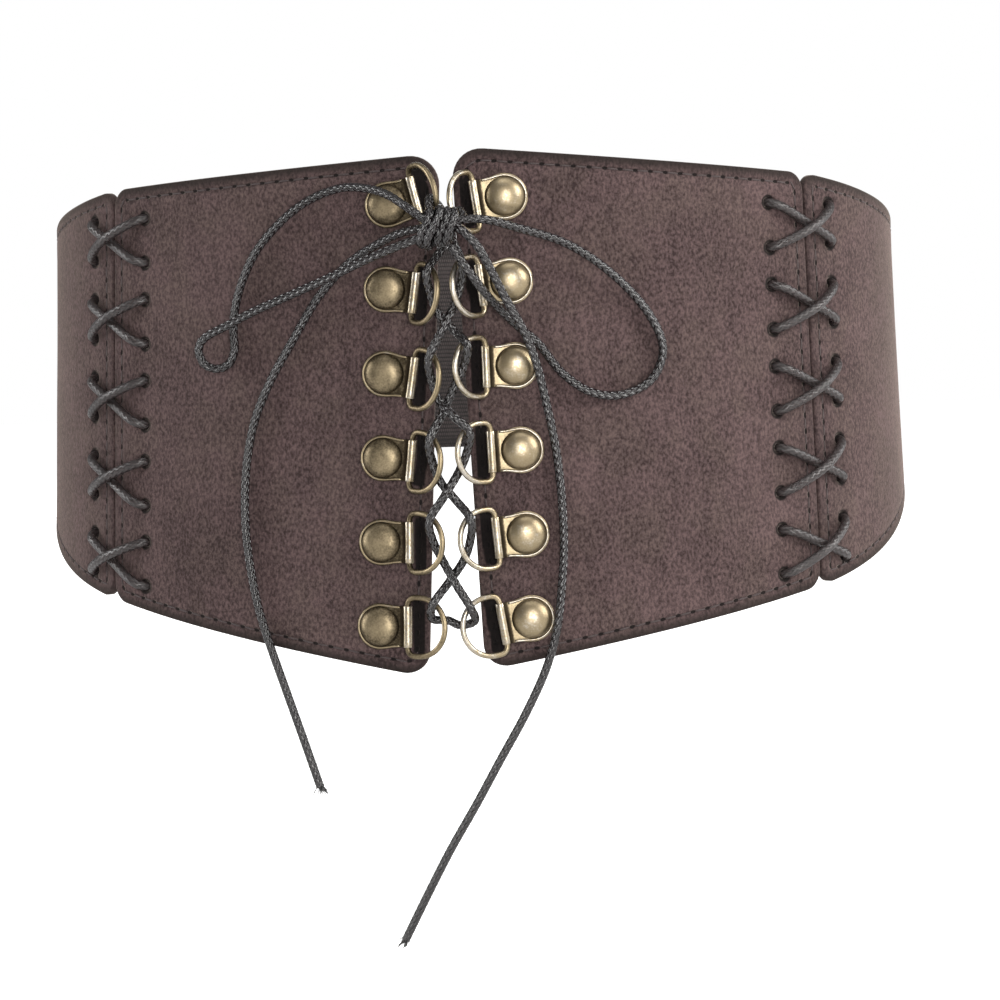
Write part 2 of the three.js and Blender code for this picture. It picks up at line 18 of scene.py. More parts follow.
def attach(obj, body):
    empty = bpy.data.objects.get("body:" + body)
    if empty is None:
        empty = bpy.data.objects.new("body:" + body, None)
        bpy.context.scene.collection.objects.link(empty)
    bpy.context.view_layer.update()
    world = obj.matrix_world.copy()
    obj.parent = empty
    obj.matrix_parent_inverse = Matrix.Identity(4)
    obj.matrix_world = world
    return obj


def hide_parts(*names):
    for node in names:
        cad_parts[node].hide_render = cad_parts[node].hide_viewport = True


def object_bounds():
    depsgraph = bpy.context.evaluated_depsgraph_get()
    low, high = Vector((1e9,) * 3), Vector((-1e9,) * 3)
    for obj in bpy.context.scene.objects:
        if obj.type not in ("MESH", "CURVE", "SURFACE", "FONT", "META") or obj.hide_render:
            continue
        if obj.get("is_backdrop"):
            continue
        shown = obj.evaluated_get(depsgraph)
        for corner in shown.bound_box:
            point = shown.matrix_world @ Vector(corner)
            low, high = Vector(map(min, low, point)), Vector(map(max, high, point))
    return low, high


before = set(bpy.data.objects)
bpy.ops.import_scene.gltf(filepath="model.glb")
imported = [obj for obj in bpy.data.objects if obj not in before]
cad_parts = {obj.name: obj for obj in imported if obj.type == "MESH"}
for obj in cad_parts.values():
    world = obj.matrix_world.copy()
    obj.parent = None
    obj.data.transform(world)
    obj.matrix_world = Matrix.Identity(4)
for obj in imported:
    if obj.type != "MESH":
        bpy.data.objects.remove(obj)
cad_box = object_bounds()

MM = 0.001
random.seed(7)
print("nodes:", len(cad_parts), "box:", [tuple(corner) for corner in cad_box])


def mm(*sizes):
    return [size * MM for size in sizes]


def put_in_scene(name, data):
    thing = bpy.data.objects.new(name, data)
    bpy.context.scene.collection.objects.link(thing)
    return thing


def direction(azimuth, elevation):
    """From the belt towards a place at these degrees, 0 in front and 90 on the right."""
    a, e = math.radians(azimuth), math.radians(elevation)
    return Vector((math.sin(a) * math.cos(e), -math.cos(a) * math.cos(e), math.sin(e)))

# %% [markdown]
# ## Camera
# The belt was photographed from a little right of its centre and just above it, with a long
# lens. A long lens keeps the far sides from shrinking, and a small roll stands for the belt
# hanging a touch crooked. The camera comes first, because the cord ends have to stay in view.

# %% Camera at the photograph's angle
AZIMUTH, ELEVATION, ROLL = 4.36, 3.0, -1.45
DISTANCE, LENS, MIDDLE = 1.1, 145.46, Vector((0, 0, -0.01174))
SHIFT_RIGHT, SHIFT_UP = 0.0056, -0.01565

back, right = direction(AZIMUTH, ELEVATION), direction(AZIMUTH + 90, 0)
aim = MIDDLE + SHIFT_RIGHT * right + SHIFT_UP * back.cross(right)
eye = put_in_scene("photo_camera", bpy.data.cameras.new("photo_camera"))
eye.location = MIDDLE + DISTANCE * back
facing = (aim - eye.location).to_track_quat("-Z", "Y")
eye.rotation_mode = "QUATERNION"
eye.rotation_quaternion = facing @ Matrix.Rotation(math.radians(ROLL), 4, "Z").to_quaternion()
eye.data.lens = LENS
eye.data.clip_start, eye.data.clip_end = 0.01, 50
bpy.context.scene.camera = eye

# %% [markdown]
# ## The waist as a ruler
# A pattern is measured along the cloth, so a place on the belt is (along, up, lift): the length
# round the waist from the front centre, the height, and how far outside the cloth's face it
# lies. The waist is an ellipse that grows a little downwards, where the hips begin.

# %% From pattern to waist
WAIST_HALF_WIDTH, WAIST_HALF_DEPTH, FLARE = 0.1145, 0.0865, 0.034

angles = np.linspace(-2 * math.pi, 2 * math.pi, 5761)
middles = (angles[:-1] + angles[1:]) / 2
pace = np.hypot(WAIST_HALF_WIDTH * np.cos(middles), WAIST_HALF_DEPTH * np.sin(middles))
arcs = np.concatenate([[0], np.cumsum(pace * np.diff(angles))])
arcs -= np.interp(0, angles, arcs)
HALF_LOOP = float(np.interp(math.pi, angles, arcs))


def on_belt(along, up, lift=0.0):
    angle = float(np.interp(along, arcs, angles))
    grow = lift - FLARE * up
    return Vector(((WAIST_HALF_WIDTH + grow) * math.sin(angle),
                   -(WAIST_HALF_DEPTH + grow) * math.cos(angle), up))


def belt_frame(along, up):
    """Axes on the cloth: x along the belt, y up, z outwards."""
    reach = 0.5 * MM
    x = (on_belt(along + reach, up) - on_belt(along - reach, up)).normalized()
    z = x.cross(on_belt(along, up + reach) - on_belt(along, up - reach)).normalized()
    y = z.cross(x)
    axes = Matrix((x, y, z)).transposed().to_4x4()
    return Matrix.Translation(on_belt(along, up)) @ axes


print("waist loop, mm:", round(2 * HALF_LOOP / MM))

# %% [markdown]
# ## One helper for every surface
# Cloth, cord and wire are all a grid of squares that is bent into place. bmesh makes the grid,
# a place function says where each point of it goes, and doubles that meet are merged. The UV
# map keeps the pattern's own coordinates, so weave and braid follow the piece. Every finished
# shape rides on the belt and takes its finish, and the node of the imported part that it
# stands for, where there is one, is hidden.


# %% Bending a grid into a piece
def bent_grid(columns, rows, place, uv_of):
    """A grid whose vertex at shares (u, v) goes to place(u, v), with uv_of(u, v) as its UV."""
    shape = bmesh.new()
    uv = shape.loops.layers.uv.new("UVMap")
    bmesh.ops.create_grid(shape, x_segments=columns, y_segments=rows, size=0.5)
    share = {v: (v.co.x + 0.5, v.co.y + 0.5) for v in shape.verts}
    for face in shape.faces:
        for loop in face.loops:
            loop[uv].uv = uv_of(*share[loop.vert])
    for vert, (u, v) in share.items():
        vert.co = place(u, v)
    return shape


def face_outwards(shape):
    bmesh.ops.recalc_face_normals(shape, faces=shape.faces)


def mesh_object(name, shape, material):
    mesh = bpy.data.meshes.new(name)
    shape.to_mesh(mesh)
    shape.free()
    for polygon in mesh.polygons:
        polygon.use_smooth = True
    mesh.materials.append(material)
    return put_in_scene(name, mesh)


def finish_piece(name, shape, material, node=None):
    piece = mesh_object(name, shape, material)
    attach(piece, "root")
    if node:
        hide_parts(node)
    return piece


def join(whole, shape):
    """Adds a shape to a whole, and uses it up."""
    mesh = bpy.data.meshes.new("part")
    shape.to_mesh(mesh)
    shape.free()
    whole.from_mesh(mesh)
    bpy.data.meshes.remove(mesh)


# %% [markdown]
# ## Cord
# The lace is a waxed braid of twelve yarns, six turning each way. A tube alone would look like
# wire, so its radius swells where a yarn lies on top and sinks where it dives under. The same
# over and under pattern is painted by the material, from the tube's own UV map.

# %% Smooth routes and braided tubes
CORD_RADIUS, BRAID_REPEAT = mm(1.1, 1.9)
BRAID_YARNS = 6
CURVE_STEPS = 24


def runs_of(places):
    """How far along the line through the places each of them lies."""
    return np.concatenate([[0], np.cumsum(np.linalg.norm(np.diff(places, axis=0), axis=1))])


def places_at(runs, places, at):
    return np.stack([np.interp(at, runs, part) for part in places.T], axis=-1)


def smooth_route(points, closed=False, spacing=0.36 * MM):
    """A Catmull-Rom curve through the points, cut into equal steps."""
    if closed:
        padded = [points[-1], *points, *points[:2]]
    else:
        padded = [points[0] * 2 - points[1], *points, points[-1] * 2 - points[-2]]
    fine = []
    for four in zip(padded, padded[1:], padded[2:], padded[3:]):
        ts = [0.0]
        for p, q in zip(four, four[1:]):
            ts.append(ts[-1] + max((q - p).length, 1e-7) ** 0.5)
        for k in range(CURVE_STEPS):
            t = ts[1] + (ts[2] - ts[1]) * k / CURVE_STEPS
            row = four
            for spans in ((0, 1), (1, 2), (2, 3)), ((0, 2), (1, 3)), ((1, 2),):
                row = [p.lerp(q, (t - ts[i]) / (ts[j] - ts[i]))
                       for p, q, (i, j) in zip(row, row[1:], spans)]
            fine += row
    places = np.array(fine + [points[0] if closed else points[-1]])
    runs = runs_of(places)
    at = np.linspace(0, runs[-1], max(8, round(runs[-1] / spacing)) + 1)
    return [Vector(place) for place in places_at(runs, places, at)], float(runs[-1])


def carried_frames(points, closed):
    """The tangent and a side direction at each point, carried along without twist."""
    before, after = (points[-2], points[1]) if closed else (points[0], points[-1])
    padded = [before, *points, after]
    side, frames = None, []
    for before, after in zip(padded, padded[2:]):
        tangent = (after - before).normalized()
        side = tangent.orthogonal() if side is None else side
        side = (side - tangent * side.dot(tangent)).normalized()
        frames.append((tangent, side))
    if closed:
        (tangent, first), (_, last) = frames[0], frames[-1]
        drift = math.copysign(first.angle(last), tangent.dot(last.cross(first)))
        frames = [(t, Matrix.Rotation(drift * i / (len(points) - 1), 3, t) @ s)
                  for i, (t, s) in enumerate(frames)]
    return frames


def braid_height(around, along):
    """0 in the grooves, 1 on the crown of the yarn that lies on top."""
    one, other = BRAID_YARNS * around + along, BRAID_YARNS * around - along
    on_top = (math.floor(one) + math.floor(other)) % 2 == 0
    across = (one if on_top else other) % 1
    return 1 - (2 * across - 1) ** 2


def tube(points, radius, closed=False, sides=24, braid=0.0):
    """A tube along evenly spaced points. The braid is a share of the radius."""
    frames = carried_frames(points, closed)
    last = len(points) - 1
    length = sum((b - a).length for a, b in zip(points, points[1:]))
    repeats = 2 * max(1, round(length / BRAID_REPEAT / 2))

    def place(u, v):
        i = round(v * last)
        tangent, side = frames[i]
        swell = 1 - braid + braid * braid_height(u, v * repeats) if braid else 1
        angle = 2 * math.pi * u
        across = side * math.cos(angle) + tangent.cross(side) * math.sin(angle)
        return points[i] + across * radius * swell

    shape = bent_grid(sides, last, place, lambda u, v: (u, v * repeats))
    bmesh.ops.remove_doubles(shape, verts=shape.verts, dist=radius / 50)
    if not closed:
        rims = [edge for edge in shape.edges if edge.is_boundary]
        bmesh.ops.holes_fill(shape, edges=rims, sides=0)
    face_outwards(shape)
    return shape


# %% [markdown]
# ### A shared braid pattern
# The material needs the same over and under pattern as the tube, only finer. It is built once
# as a node group with a named input, and put into both the bow cord's and the side lace's
# material. It gives back a height, for the bump and for painted shade in the grooves between
# the lighter crowns.

# %% Node helpers
class Nodes:
    """Short ways to add and join shader nodes in one tree."""

    def __init__(self, tree):
        self.tree = tree

    def put(self, sockets, values):
        """Gives each named socket its value, as a link or as a constant."""
        for name, value in values.items():
            if isinstance(value, bpy.types.NodeSocket):
                self.tree.links.new(value, sockets[name])
            elif value is not None:
                sockets[name].default_value = value

    def make(self, kind, values=None, **settings):
        node = self.tree.nodes.new("ShaderNode" + kind)
        for name, value in settings.items():
            setattr(node, name, value)
        self.put(node.inputs, values or {})
        return node.outputs

    def read(self, output, kind="TexCoord", **settings):
        return self.make(kind, **settings)[output]

    def math(self, operation, a, b=None, c=None, clamp=False):
        values = {0: a, 1: b, 2: c}
        return self.make("Math", values, operation=operation, use_clamp=clamp)[0]

    def times(self, a, b):
        return self.math("MULTIPLY", a, b)

    def scaled(self, value, factor, offset, clamp=False):
        return self.math("MULTIPLY_ADD", value, factor, offset, clamp)

    def noise(self, vector, scale, detail=2.0, roughness=0.5):
        return self.make("TexNoise", {"Vector": vector, "Scale": scale, "Detail": detail,
                                      "Roughness": roughness})["Fac"]

    def spread(self, value, low, high, to_low=0.0, to_high=1.0, kind="SMOOTHSTEP"):
        values = dict(enumerate((value, low, high, to_low, to_high)))
        return self.make("MapRange", values, interpolation_type=kind)[0]

    def blend(self, share, a, b, blend_type="MIX"):
        """Mixes two colours. A plain colour is given as (red, green, blue)."""
        a, b = ((*side, 1) if isinstance(side, tuple) else side for side in (a, b))
        return self.make("Mix", {0: share, 6: a, 7: b}, data_type="RGBA",
                         blend_type=blend_type)[2]

    def bump(self, height, strength, distance):
        return self.make("Bump", {"Strength": strength, "Distance": distance,
                                  "Height": height})[0]

    def stretched(self, vector, *scale):
        return self.make("Mapping", {"Vector": vector, "Scale": scale})[0]

    def split(self, vector):
        """The first two parts of a vector."""
        return self.make("SeparateXYZ", {0: vector})[:2]


def new_group(name, inputs, outputs):
    tree = bpy.data.node_groups.new(name, "ShaderNodeTree")
    for title, kind in inputs.items():
        tree.interface.new_socket(title, in_out="INPUT", socket_type="NodeSocket" + kind)
    for title, kind in outputs.items():
        tree.interface.new_socket(title, in_out="OUTPUT", socket_type="NodeSocket" + kind)
    nodes = Nodes(tree)
    given, result = (tree.nodes.new("NodeGroup" + end) for end in ("Input", "Output"))
    return nodes, given.outputs, result.inputs


def new_material(name, roughness, metallic=0.0):
    material = bpy.data.materials.new(name)
    material.use_nodes = True
    sockets = material.node_tree.nodes["Principled BSDF"].inputs
    nodes = Nodes(material.node_tree)
    nodes.put(sockets, {"Roughness": roughness, "Metallic": metallic})
    return material, nodes, sockets


# %% Braid group
nodes, given, result = new_group("braid", {"UV": "Vector"}, {"Height": "Float"})
around, along = nodes.split(given["UV"])
turned = nodes.times(around, float(BRAID_YARNS))
one, other = (nodes.math(way, turned, along) for way in ("ADD", "SUBTRACT"))
parity = nodes.math("FLOORED_MODULO", nodes.math(
    "ADD", nodes.math("FLOOR", one), nodes.math("FLOOR", other)), 2.0)
crowns = []
for place in (one, other):
    centred = nodes.scaled(nodes.math("FLOORED_MODULO", place, 1.0), 2.0, -1.0)
    crowns.append(nodes.math("SUBTRACT", 1.0, nodes.times(centred, centred)))
upper = nodes.times(crowns[0], nodes.math("SUBTRACT", 1.0, parity))
nodes.put(result, {"Height": nodes.scaled(crowns[1], parity, upper)})
braid_group = nodes.tree


# %% Waxed cord materials
def cord_material(name, dark, light, roughness, shine, depth):
    material, nodes, shader = new_material(name, roughness)
    place = nodes.read("Object")
    braid = nodes.make("Group", {"UV": nodes.read("UV")}, node_tree=braid_group)["Height"]
    worn = nodes.noise(place, 260, 3)
    fibre = nodes.noise(place, 5200, 2)
    crown = nodes.scaled(fibre, 0.35, nodes.times(braid, 0.75))
    # painted shade: darker yarn in the braid's grooves, lighter on its crowns
    tone = nodes.blend(nodes.spread(crown, 0.15, 0.95), dark, light)
    deeper = tuple(0.62 * part for part in dark)
    nodes.put(shader, {
        "Base Color": nodes.blend(nodes.spread(worn, 0.4, 0.75, 0, 0.45), tone, deeper),
        "Roughness": nodes.spread(worn, 0.3, 0.7, roughness - 0.05, roughness + 0.12),
        "Normal": nodes.bump(nodes.scaled(fibre, 0.22, braid), 0.7, depth),
        "Specular IOR Level": shine})
    return material


bow_cord = cord_material("waxed_braid", (0.0016, 0.0012, 0.0014), (0.0095, 0.0069, 0.0076),
                         roughness=0.16, shine=0.72, depth=0.28 * MM)
side_cord = cord_material("waxed_side_lace", (0.009, 0.0069, 0.0069), (0.034, 0.0262, 0.0258),
                          roughness=0.3, shine=0.5, depth=0.12 * MM)

# %% [markdown]
# ## The bow's loops and ends
# One cord laces the belt and ends in a bow at the first gap between the rings. Its two loops
# lie on the cloth and come back to the knot, and its two ends hang below the lower edge. The
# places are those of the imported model, as (along, up, lift) on the belt in millimetres.

# %% Routes of the bow
BOW_ROUTES = {
    "bow_loop_right": [
        (2.6, 48.5, 14.2), (8.6, 48.8, 13.4), (17.8, 46.2, 9.5), (30.1, 41.7, 5.5),
        (42.8, 32.6, 3), (51.4, 22.3, 2), (53.8, 14.7, 1.8), (50.6, 7.6, 1.8), (42.3, 3.9, 1.8),
        (34.7, 5, 1.8), (27.8, 10, 1.8), (22, 17.6, 2), (17.2, 21.8, 3), (12.6, 26.4, 6),
        (8.4, 31.8, 9.8), (5, 37.2, 12.4), (1.8, 42.4, 13.2)],
    "bow_loop_left": [
        (-3.2, 48.4, 13.8), (-8.6, 52.6, 12.4), (-13, 55.3, 9), (-18.2, 57, 6.2),
        (-26.2, 57.4, 3.5), (-37.3, 53.4, 2), (-48.6, 43.6, 1.8), (-53.9, 34.5, 1.7),
        (-56.2, 26.6, 1.7), (-56.5, 21.4, 1.7), (-56.2, 17.1, 1.9), (-57.4, 13.9, 2.4),
        (-60.4, 12.6, 3.2), (-63.4, 13.9, 4.1), (-64.5, 16.9, 4.8), (-63.9, 19.1, 5),
        (-62.2, 20.8, 5), (-59.6, 22.1, 4.9), (-56.9, 23.3, 4.8), (-49.3, 26.8, 4.9),
        (-38.6, 30.9, 6.2), (-27.6, 35.2, 8.5), (-14.6, 40.8, 12.2), (-3.4, 45.2, 14.2)],
    "tail_right": [
        (1.8, 48.2, 13.8), (4.8, 45.8, 14.5), (7.8, 42.1, 13.7), (11.1, 35.3, 11), (14, 29, 8.8),
        (18.2, 20.6, 7), (20.9, 13.4, 5.2), (23.4, 3.2, 3.4), (25.8, -9.5, 1.9),
        (26.9, -22, 1.8), (27, -34, 1.8), (26, -44.4, 2.5), (24.9, -52, 3.2), (23.6, -58, 2.9),
        (21.4, -65, 2), (16.4, -75.6, 1.4), (10.1, -86.9, 0.8), (4, -98, 0.2),
        (-2.6, -109.4, -0.6), (-8.6, -120.8, -1.4), (-14.5, -132.4, -2)],
    "tail_left": [
        (-3.2, 47.1, 12.4), (-9.6, 46, 9.6), (-14.8, 43.9, 7.2), (-23.8, 39, 3.6),
        (-32.6, 30.6, 2), (-40.8, 18.2, 1.7), (-46.6, 8.6, 1.7), (-50.7, -0.7, 1.7),
        (-53, -11, 1.7), (-53.7, -20.9, 1.7), (-53.4, -30, 1.7), (-52.2, -38.7, 1.7),
        (-50.4, -47.4, 1.7), (-47.7, -56.4, 1.5), (-42.7, -71.7, 0.4), (-39.2, -83, -0.8),
        (-35.9, -93.9, -2)],
}
knot_centre = on_belt(*mm(-0.5, 47.0, 14.3))

# %% [markdown]
# ## Frayed ends
# The two ends were simply cut, so their yarns have sprung apart. Each is a tuft of short, bent
# fibres: a few thick yarns that splay, and finer hairs between them. A handful of tapering
# cones is enough, since each is thinner than a pixel.

# %% A tuft for a cord's end
FIBRES, THICK_FIBRES, FIBRE_STEPS = 30, 9, 4


def tuft(name, start, heading):
    shape = bmesh.new()
    turn = heading.to_track_quat("Z", "Y").to_matrix()
    for i in range(FIBRES):
        thick = i < THICK_FIBRES
        spread = random.uniform(0.12, 0.55) if thick else random.uniform(0.05, 0.9)
        spin = random.uniform(0, 2 * math.pi)
        lean = Vector((math.cos(spin) * spread, math.sin(spin) * spread, 1)).normalized()
        sideways = Vector((lean.x, lean.y, 0))
        reach = random.uniform(*((1.8, 3.2) if thick else (1.2, 3.6))) * MM
        root = start - heading * 0.7 * MM + turn @ sideways * 0.9 * MM
        wide = random.uniform(*((0.24, 0.34) if thick else (0.05, 0.09))) * MM
        shares = [k / FIBRE_STEPS for k in range(FIBRE_STEPS + 1)]
        points = [root + turn @ (lean * reach * share + sideways * share * share * reach * 0.5)
                  for share in shares]
        fibre = tube(points, wide, sides=5)
        for vert in fibre.verts:
            share = min(1, max(0, (vert.co - root).dot(turn @ lean) / reach))
            nearest = points[min(FIBRE_STEPS, round(share * FIBRE_STEPS))]
            vert.co = nearest + (vert.co - nearest) * (1 - 0.6 * share ** 2)
        join(shape, fibre)
    return finish_piece(name, shape, bow_cord)


# %% Bow loops and ends
BRAID = 0.13

for name, route in BOW_ROUTES.items():
    points, length = smooth_route([on_belt(*mm(*place)) for place in route])
    shape = tube(points, CORD_RADIUS, braid=BRAID)
    cord = finish_piece(f"cord_{name}", shape, bow_cord, name)
    hangs = name.startswith("tail")
    heading = (points[-1] - points[-3]).normalized()
    frayed = [tuft(f"frayed_end_{name}", points[-1], heading)] if hangs else []
    print(name, "length, mm:", round(length / MM))

# %% [markdown]
# ## Knot
# A bow's knot is the same cord wound round its own middle. Here it is five closed turns pulled
# tight over a small core: four run up and down the front, and one crosses them at a slant. The
# core only fills the inside, so that no light shows between the turns.

# %% Wound knot
KNOT_TURNS = [
    # sideways, half height and half depth in millimetres, lean to the side in degrees
    (-3.5, 4.3, 2.5, 15), (-1.4, 4.9, 3.0, 19), (0.9, 4.3, 2.5, 16), (2.8, 4.0, 2.6, 12),
    (0.3, 4.5, 2.1, 56)]
core = Matrix.Translation(mm(0, 0, -0.9)) @ Matrix.Diagonal((*mm(3.8, 1.5, 4.1), 1))
knot = bmesh.new()
bmesh.ops.create_uvsphere(knot, u_segments=20, v_segments=12, radius=1.0, matrix=core)
for *sizes, lean in KNOT_TURNS:
    sideways, half_height, half_depth = mm(*sizes)
    slant = Matrix.Rotation(math.radians(lean), 3, "Y")
    ring = [Vector((sideways, 0, 0)) + slant @ Vector(
        (0.5 * MM * math.sin(2 * a), -half_depth * math.cos(a), half_height * math.sin(a)))
        for a in np.linspace(0, 2 * math.pi, 12, endpoint=False)]
    turn, _ = smooth_route(ring, closed=True)
    join(knot, tube(turn, CORD_RADIUS, closed=True, braid=BRAID))
bmesh.ops.translate(knot, verts=knot.verts, vec=knot_centre)
finish_piece("wound_knot", knot, bow_cord, "knot")

# %% [markdown]
# ## Where the hardware sits
# Each side carries six rivets down the laced edge. A rivet holds a folded tab, and the tab's
# barrel holds a D ring that stands up from the cloth until it meets its twin at the centre.
# The lace runs from ring to ring, so the rings' places are worked out before the lace.

# %% Rivet, tab and ring frames
FRONT_TOP, FRONT_BOTTOM = mm(66.5, -66.5)
GAP_HALF_TOP, GAP_HALF_BOTTOM = mm(1.8, 6.7)
SEAM_AT, SEAM_GAP, FRONT_SLIP = mm(99.6, 0.7, 0.8)
RING_ROWS = 6
ROW_TOP_DROP, ROW_BOTTOM_RISE = mm(12.9, 14.4)
RIVET_INSET, TAB_END_RADIUS, TAB_WIDTH = mm(12.6, 5.85, 10.4)
BARREL_REACH, BARREL_RADIUS, BARREL_LIFT = mm(7.3, 1.42, 1.72)
WIRE_RADIUS, RING_HEIGHT, RING_DEPTH, RING_CORNER = mm(0.72, 16.2, 11.5, 2)
TIP_CLEARANCE = 0.55 * MM
RING_ARC = RING_HEIGHT / 2 - WIRE_RADIUS
RING_ARC_AT = RING_DEPTH - WIRE_RADIUS - RING_ARC
SETTLE = {-1: (-14, 8, 9, 6, 1, 1), 1: (8, 7, 1, 2, 5, 9)}
SIDES = {"left": -1, "right": 1}


def slip_at(along):
    return math.copysign(FRONT_SLIP * (1 - abs(along) / SEAM_AT), along)


def rivet_place(side, row):
    pitch = (FRONT_TOP - FRONT_BOTTOM - ROW_TOP_DROP - ROW_BOTTOM_RISE) / (RING_ROWS - 1)
    up = FRONT_TOP - ROW_TOP_DROP - row * pitch
    share = (FRONT_TOP - up) / (FRONT_TOP - FRONT_BOTTOM)
    inset = GAP_HALF_TOP + share * (GAP_HALF_BOTTOM - GAP_HALF_TOP) + RIVET_INSET
    return side * inset, up + slip_at(side * inset), inset


def tab_turn(side, row):
    settle = math.radians(SETTLE[side][row])
    return -settle if side < 0 else math.pi + settle


def tab_frame(side, row):
    along, up, _ = rivet_place(side, row)
    return belt_frame(along, up) @ Matrix.Rotation(tab_turn(side, row), 4, "Z")


def ring_frame(side, row):
    lean = math.cos(math.radians(SETTLE[side][row]))
    room = rivet_place(side, row)[2] - TIP_CLEARANCE - BARREL_REACH * lean
    tilt = math.acos(min(1, room / (RING_ARC_AT * lean + RING_ARC + WIRE_RADIUS)))
    hinge = Matrix.Translation((BARREL_REACH, 0, BARREL_LIFT))
    return tab_frame(side, row) @ hinge @ Matrix.Rotation(-tilt, 4, "Y")


def ring_place(side, row, degrees, inset, lift):
    angle, radius = math.radians(degrees), RING_ARC - inset
    local = Vector((RING_ARC_AT + radius * math.cos(angle),
                    -side * radius * math.sin(angle), lift))
    return ring_frame(side, row) @ local


# %% [markdown]
# ## Front lace
# The lace crosses from ring to ring: over a ring's wire, in through it and out behind its bow,
# then over to the other side one row down. It comes from the knot on both sides and closes
# with a short bar behind the last pair of rings.


# %% Lace down the front
def strand(start_side, crossing_lift):
    clear = WIRE_RADIUS + CORD_RADIUS + 0.35 * MM
    points = []
    for row in range(RING_ROWS):
        side = -start_side if row % 2 else start_side
        over_at, through_at, behind_at = {
            0: (-34, -24, -52), RING_ROWS - 1: (48, 30, 14)}.get(row, (48, 5, -38))
        places = [ring_place(side, row, over_at, 0, clear),
                  ring_place(side, row, through_at, 2.9 * MM, 0),
                  ring_place(side, row, behind_at, 0, -clear)]
        if row:
            points.append(points[-1].lerp(places[0], 0.5) + Vector((0, -crossing_lift, 0)))
        points += places
    return points


ends = [knot_centre + Vector(mm(x, 0, 0.8)) for x in (-1.4, 1.4)]
points, length = smooth_route(
    [ends[0], *strand(-1, 1.4 * MM), *strand(1, -1.4 * MM)[::-1], ends[1]])
finish_piece("laced_front", tube(points, CORD_RADIUS, braid=BRAID), bow_cord,
             "front_lace")
print("front lace, mm:", round(length / MM))

# %% [markdown]
# ## Side lacing
# A thicker, smoother lace joins each front panel to its side panel with five crosses. On the
# outside it crosses between the two rows of holes, and behind the cloth it runs down to the
# next hole of the same row. Seen from the front, the strand that climbs to the right is on top.

# %% Crosses at the side seams
TOP_FALL, BOTTOM_CLIMB = mm(7.8, 18.9)
SEAM_TOP, SEAM_BOTTOM = FRONT_TOP - TOP_FALL, FRONT_BOTTOM + BOTTOM_CLIMB
CROSSES = 5
SIDE_LACE_RADIUS, PANEL_WALL, TOP_CROSS_DROP = mm(1.2, 2.4, 13.2)
# for each row of holes: inset from the seam, spread of a cross, rise of the lowest cross
HOLES = {"front": mm(-12, 11.5, 9.5), "side": mm(9.6, 10.1, 11.9)}


def cross_hole(side, row, panel, level):
    inset, spread, bottom_rise = HOLES[panel]
    pitch = (SEAM_TOP - SEAM_BOTTOM - TOP_CROSS_DROP - bottom_rise) / (CROSSES - 1)
    up = SEAM_TOP - TOP_CROSS_DROP - row * pitch + level * spread / 2
    return Vector((side * (SEAM_AT + inset), up))


def side_lace_route(side):
    seat = SIDE_LACE_RADIUS + 0.35 * MM
    over_lift = seat + 2 * SIDE_LACE_RADIUS + 0.1 * MM
    over_from = "front" if side > 0 else "side"
    legs = []
    for level, rows in ((1, range(CROSSES)), (-1, reversed(range(CROSSES)))):
        for row in rows:
            panel, other = ("side", "front") if row % 2 else ("front", "side")
            lift = over_lift if (level < 0) == (panel == over_from) else seat
            legs.append((cross_hole(side, row, panel, level),
                         cross_hole(side, row, other, -level), lift))
    points = []
    for (start, end, lift), (following, _, _) in zip(legs, legs[1:] + legs[:1]):
        across, down = (end - start).normalized(), (following - end).normalized()
        near, clear, under = across * 0.3 * MM, across * 2.1 * MM, down * 2 * MM
        stops = [(start, -PANEL_WALL), (start + near, -0.2 * MM), (start + clear, seat),
                 ((start + end) / 2, lift), (end - clear, seat), (end - near, -0.2 * MM),
                 (end, -PANEL_WALL), (end + under, -PANEL_WALL - seat),
                 (following - under, -PANEL_WALL - seat)]
        points += [on_belt(*place, height) for place, height in stops]
    return points


for side_name, side in SIDES.items():
    points, length = smooth_route(side_lace_route(side), closed=True)
    shape = tube(points, SIDE_LACE_RADIUS, closed=True, braid=0.05)
    finish_piece(f"laced_seam_{side_name}", shape, side_cord,
                 f"side_lace_{side_name}")
    print("side lace, mm:", side_name, round(length / MM))

# %% [markdown]
# ## Faux suede
# The panels are faux suede: a knitted cloth brushed until it carries a short, uneven nap. Close
# up it is a field of light and dark tufts under a millimetre across, on broader clouds where
# the nap lies another way, and it pales where it is seen edge on. Noise at several sizes gives
# the colour and the bump, and sheen gives the pale edge. Along the hem the cloth is painted
# darker, as painted shade where the edge rolls over; it is strongest along the upper and lower
# edges, which the level value of each point carries.

# %% Nap group
nodes, given, result = new_group(
    "brushed_nap", {"Vector": "Vector", "Dark": "Color", "Light": "Color"},
    {"Color": "Color", "Height": "Float"})
place = given["Vector"]
lay = nodes.stretched(place, 1.0, 1.0, 0.7)
tufts = nodes.noise(lay, 1450, 2, 0.55)
hairs = nodes.noise(lay, 4200, 2, 0.6)
clouds = nodes.noise(place, 48, 3, 0.6)
brushed = nodes.noise(nodes.stretched(place, 1.0, 1.0, 0.16), 260, 2)
height = nodes.scaled(tufts, 0.72, nodes.times(hairs, 0.28))
tone = nodes.spread(height, 0.3, 0.7)
tone = nodes.scaled(nodes.math("SUBTRACT", clouds, 0.5), 0.75, tone)
tone = nodes.scaled(nodes.math("SUBTRACT", brushed, 0.5), 0.35, tone, clamp=True)
tinted = nodes.blend(nodes.spread(nodes.noise(place, 85, 2), 0.4, 0.65, 0, 0.5),
                     given["Light"], (0.93, 1.02, 0.9), "MULTIPLY")
nodes.put(result, {"Color": nodes.blend(tone, given["Dark"], tinted), "Height": height})
nap_group = nodes.tree

# %% Hem group
STITCH_LINE, STITCH_PITCH = mm(3.0, 4.1)

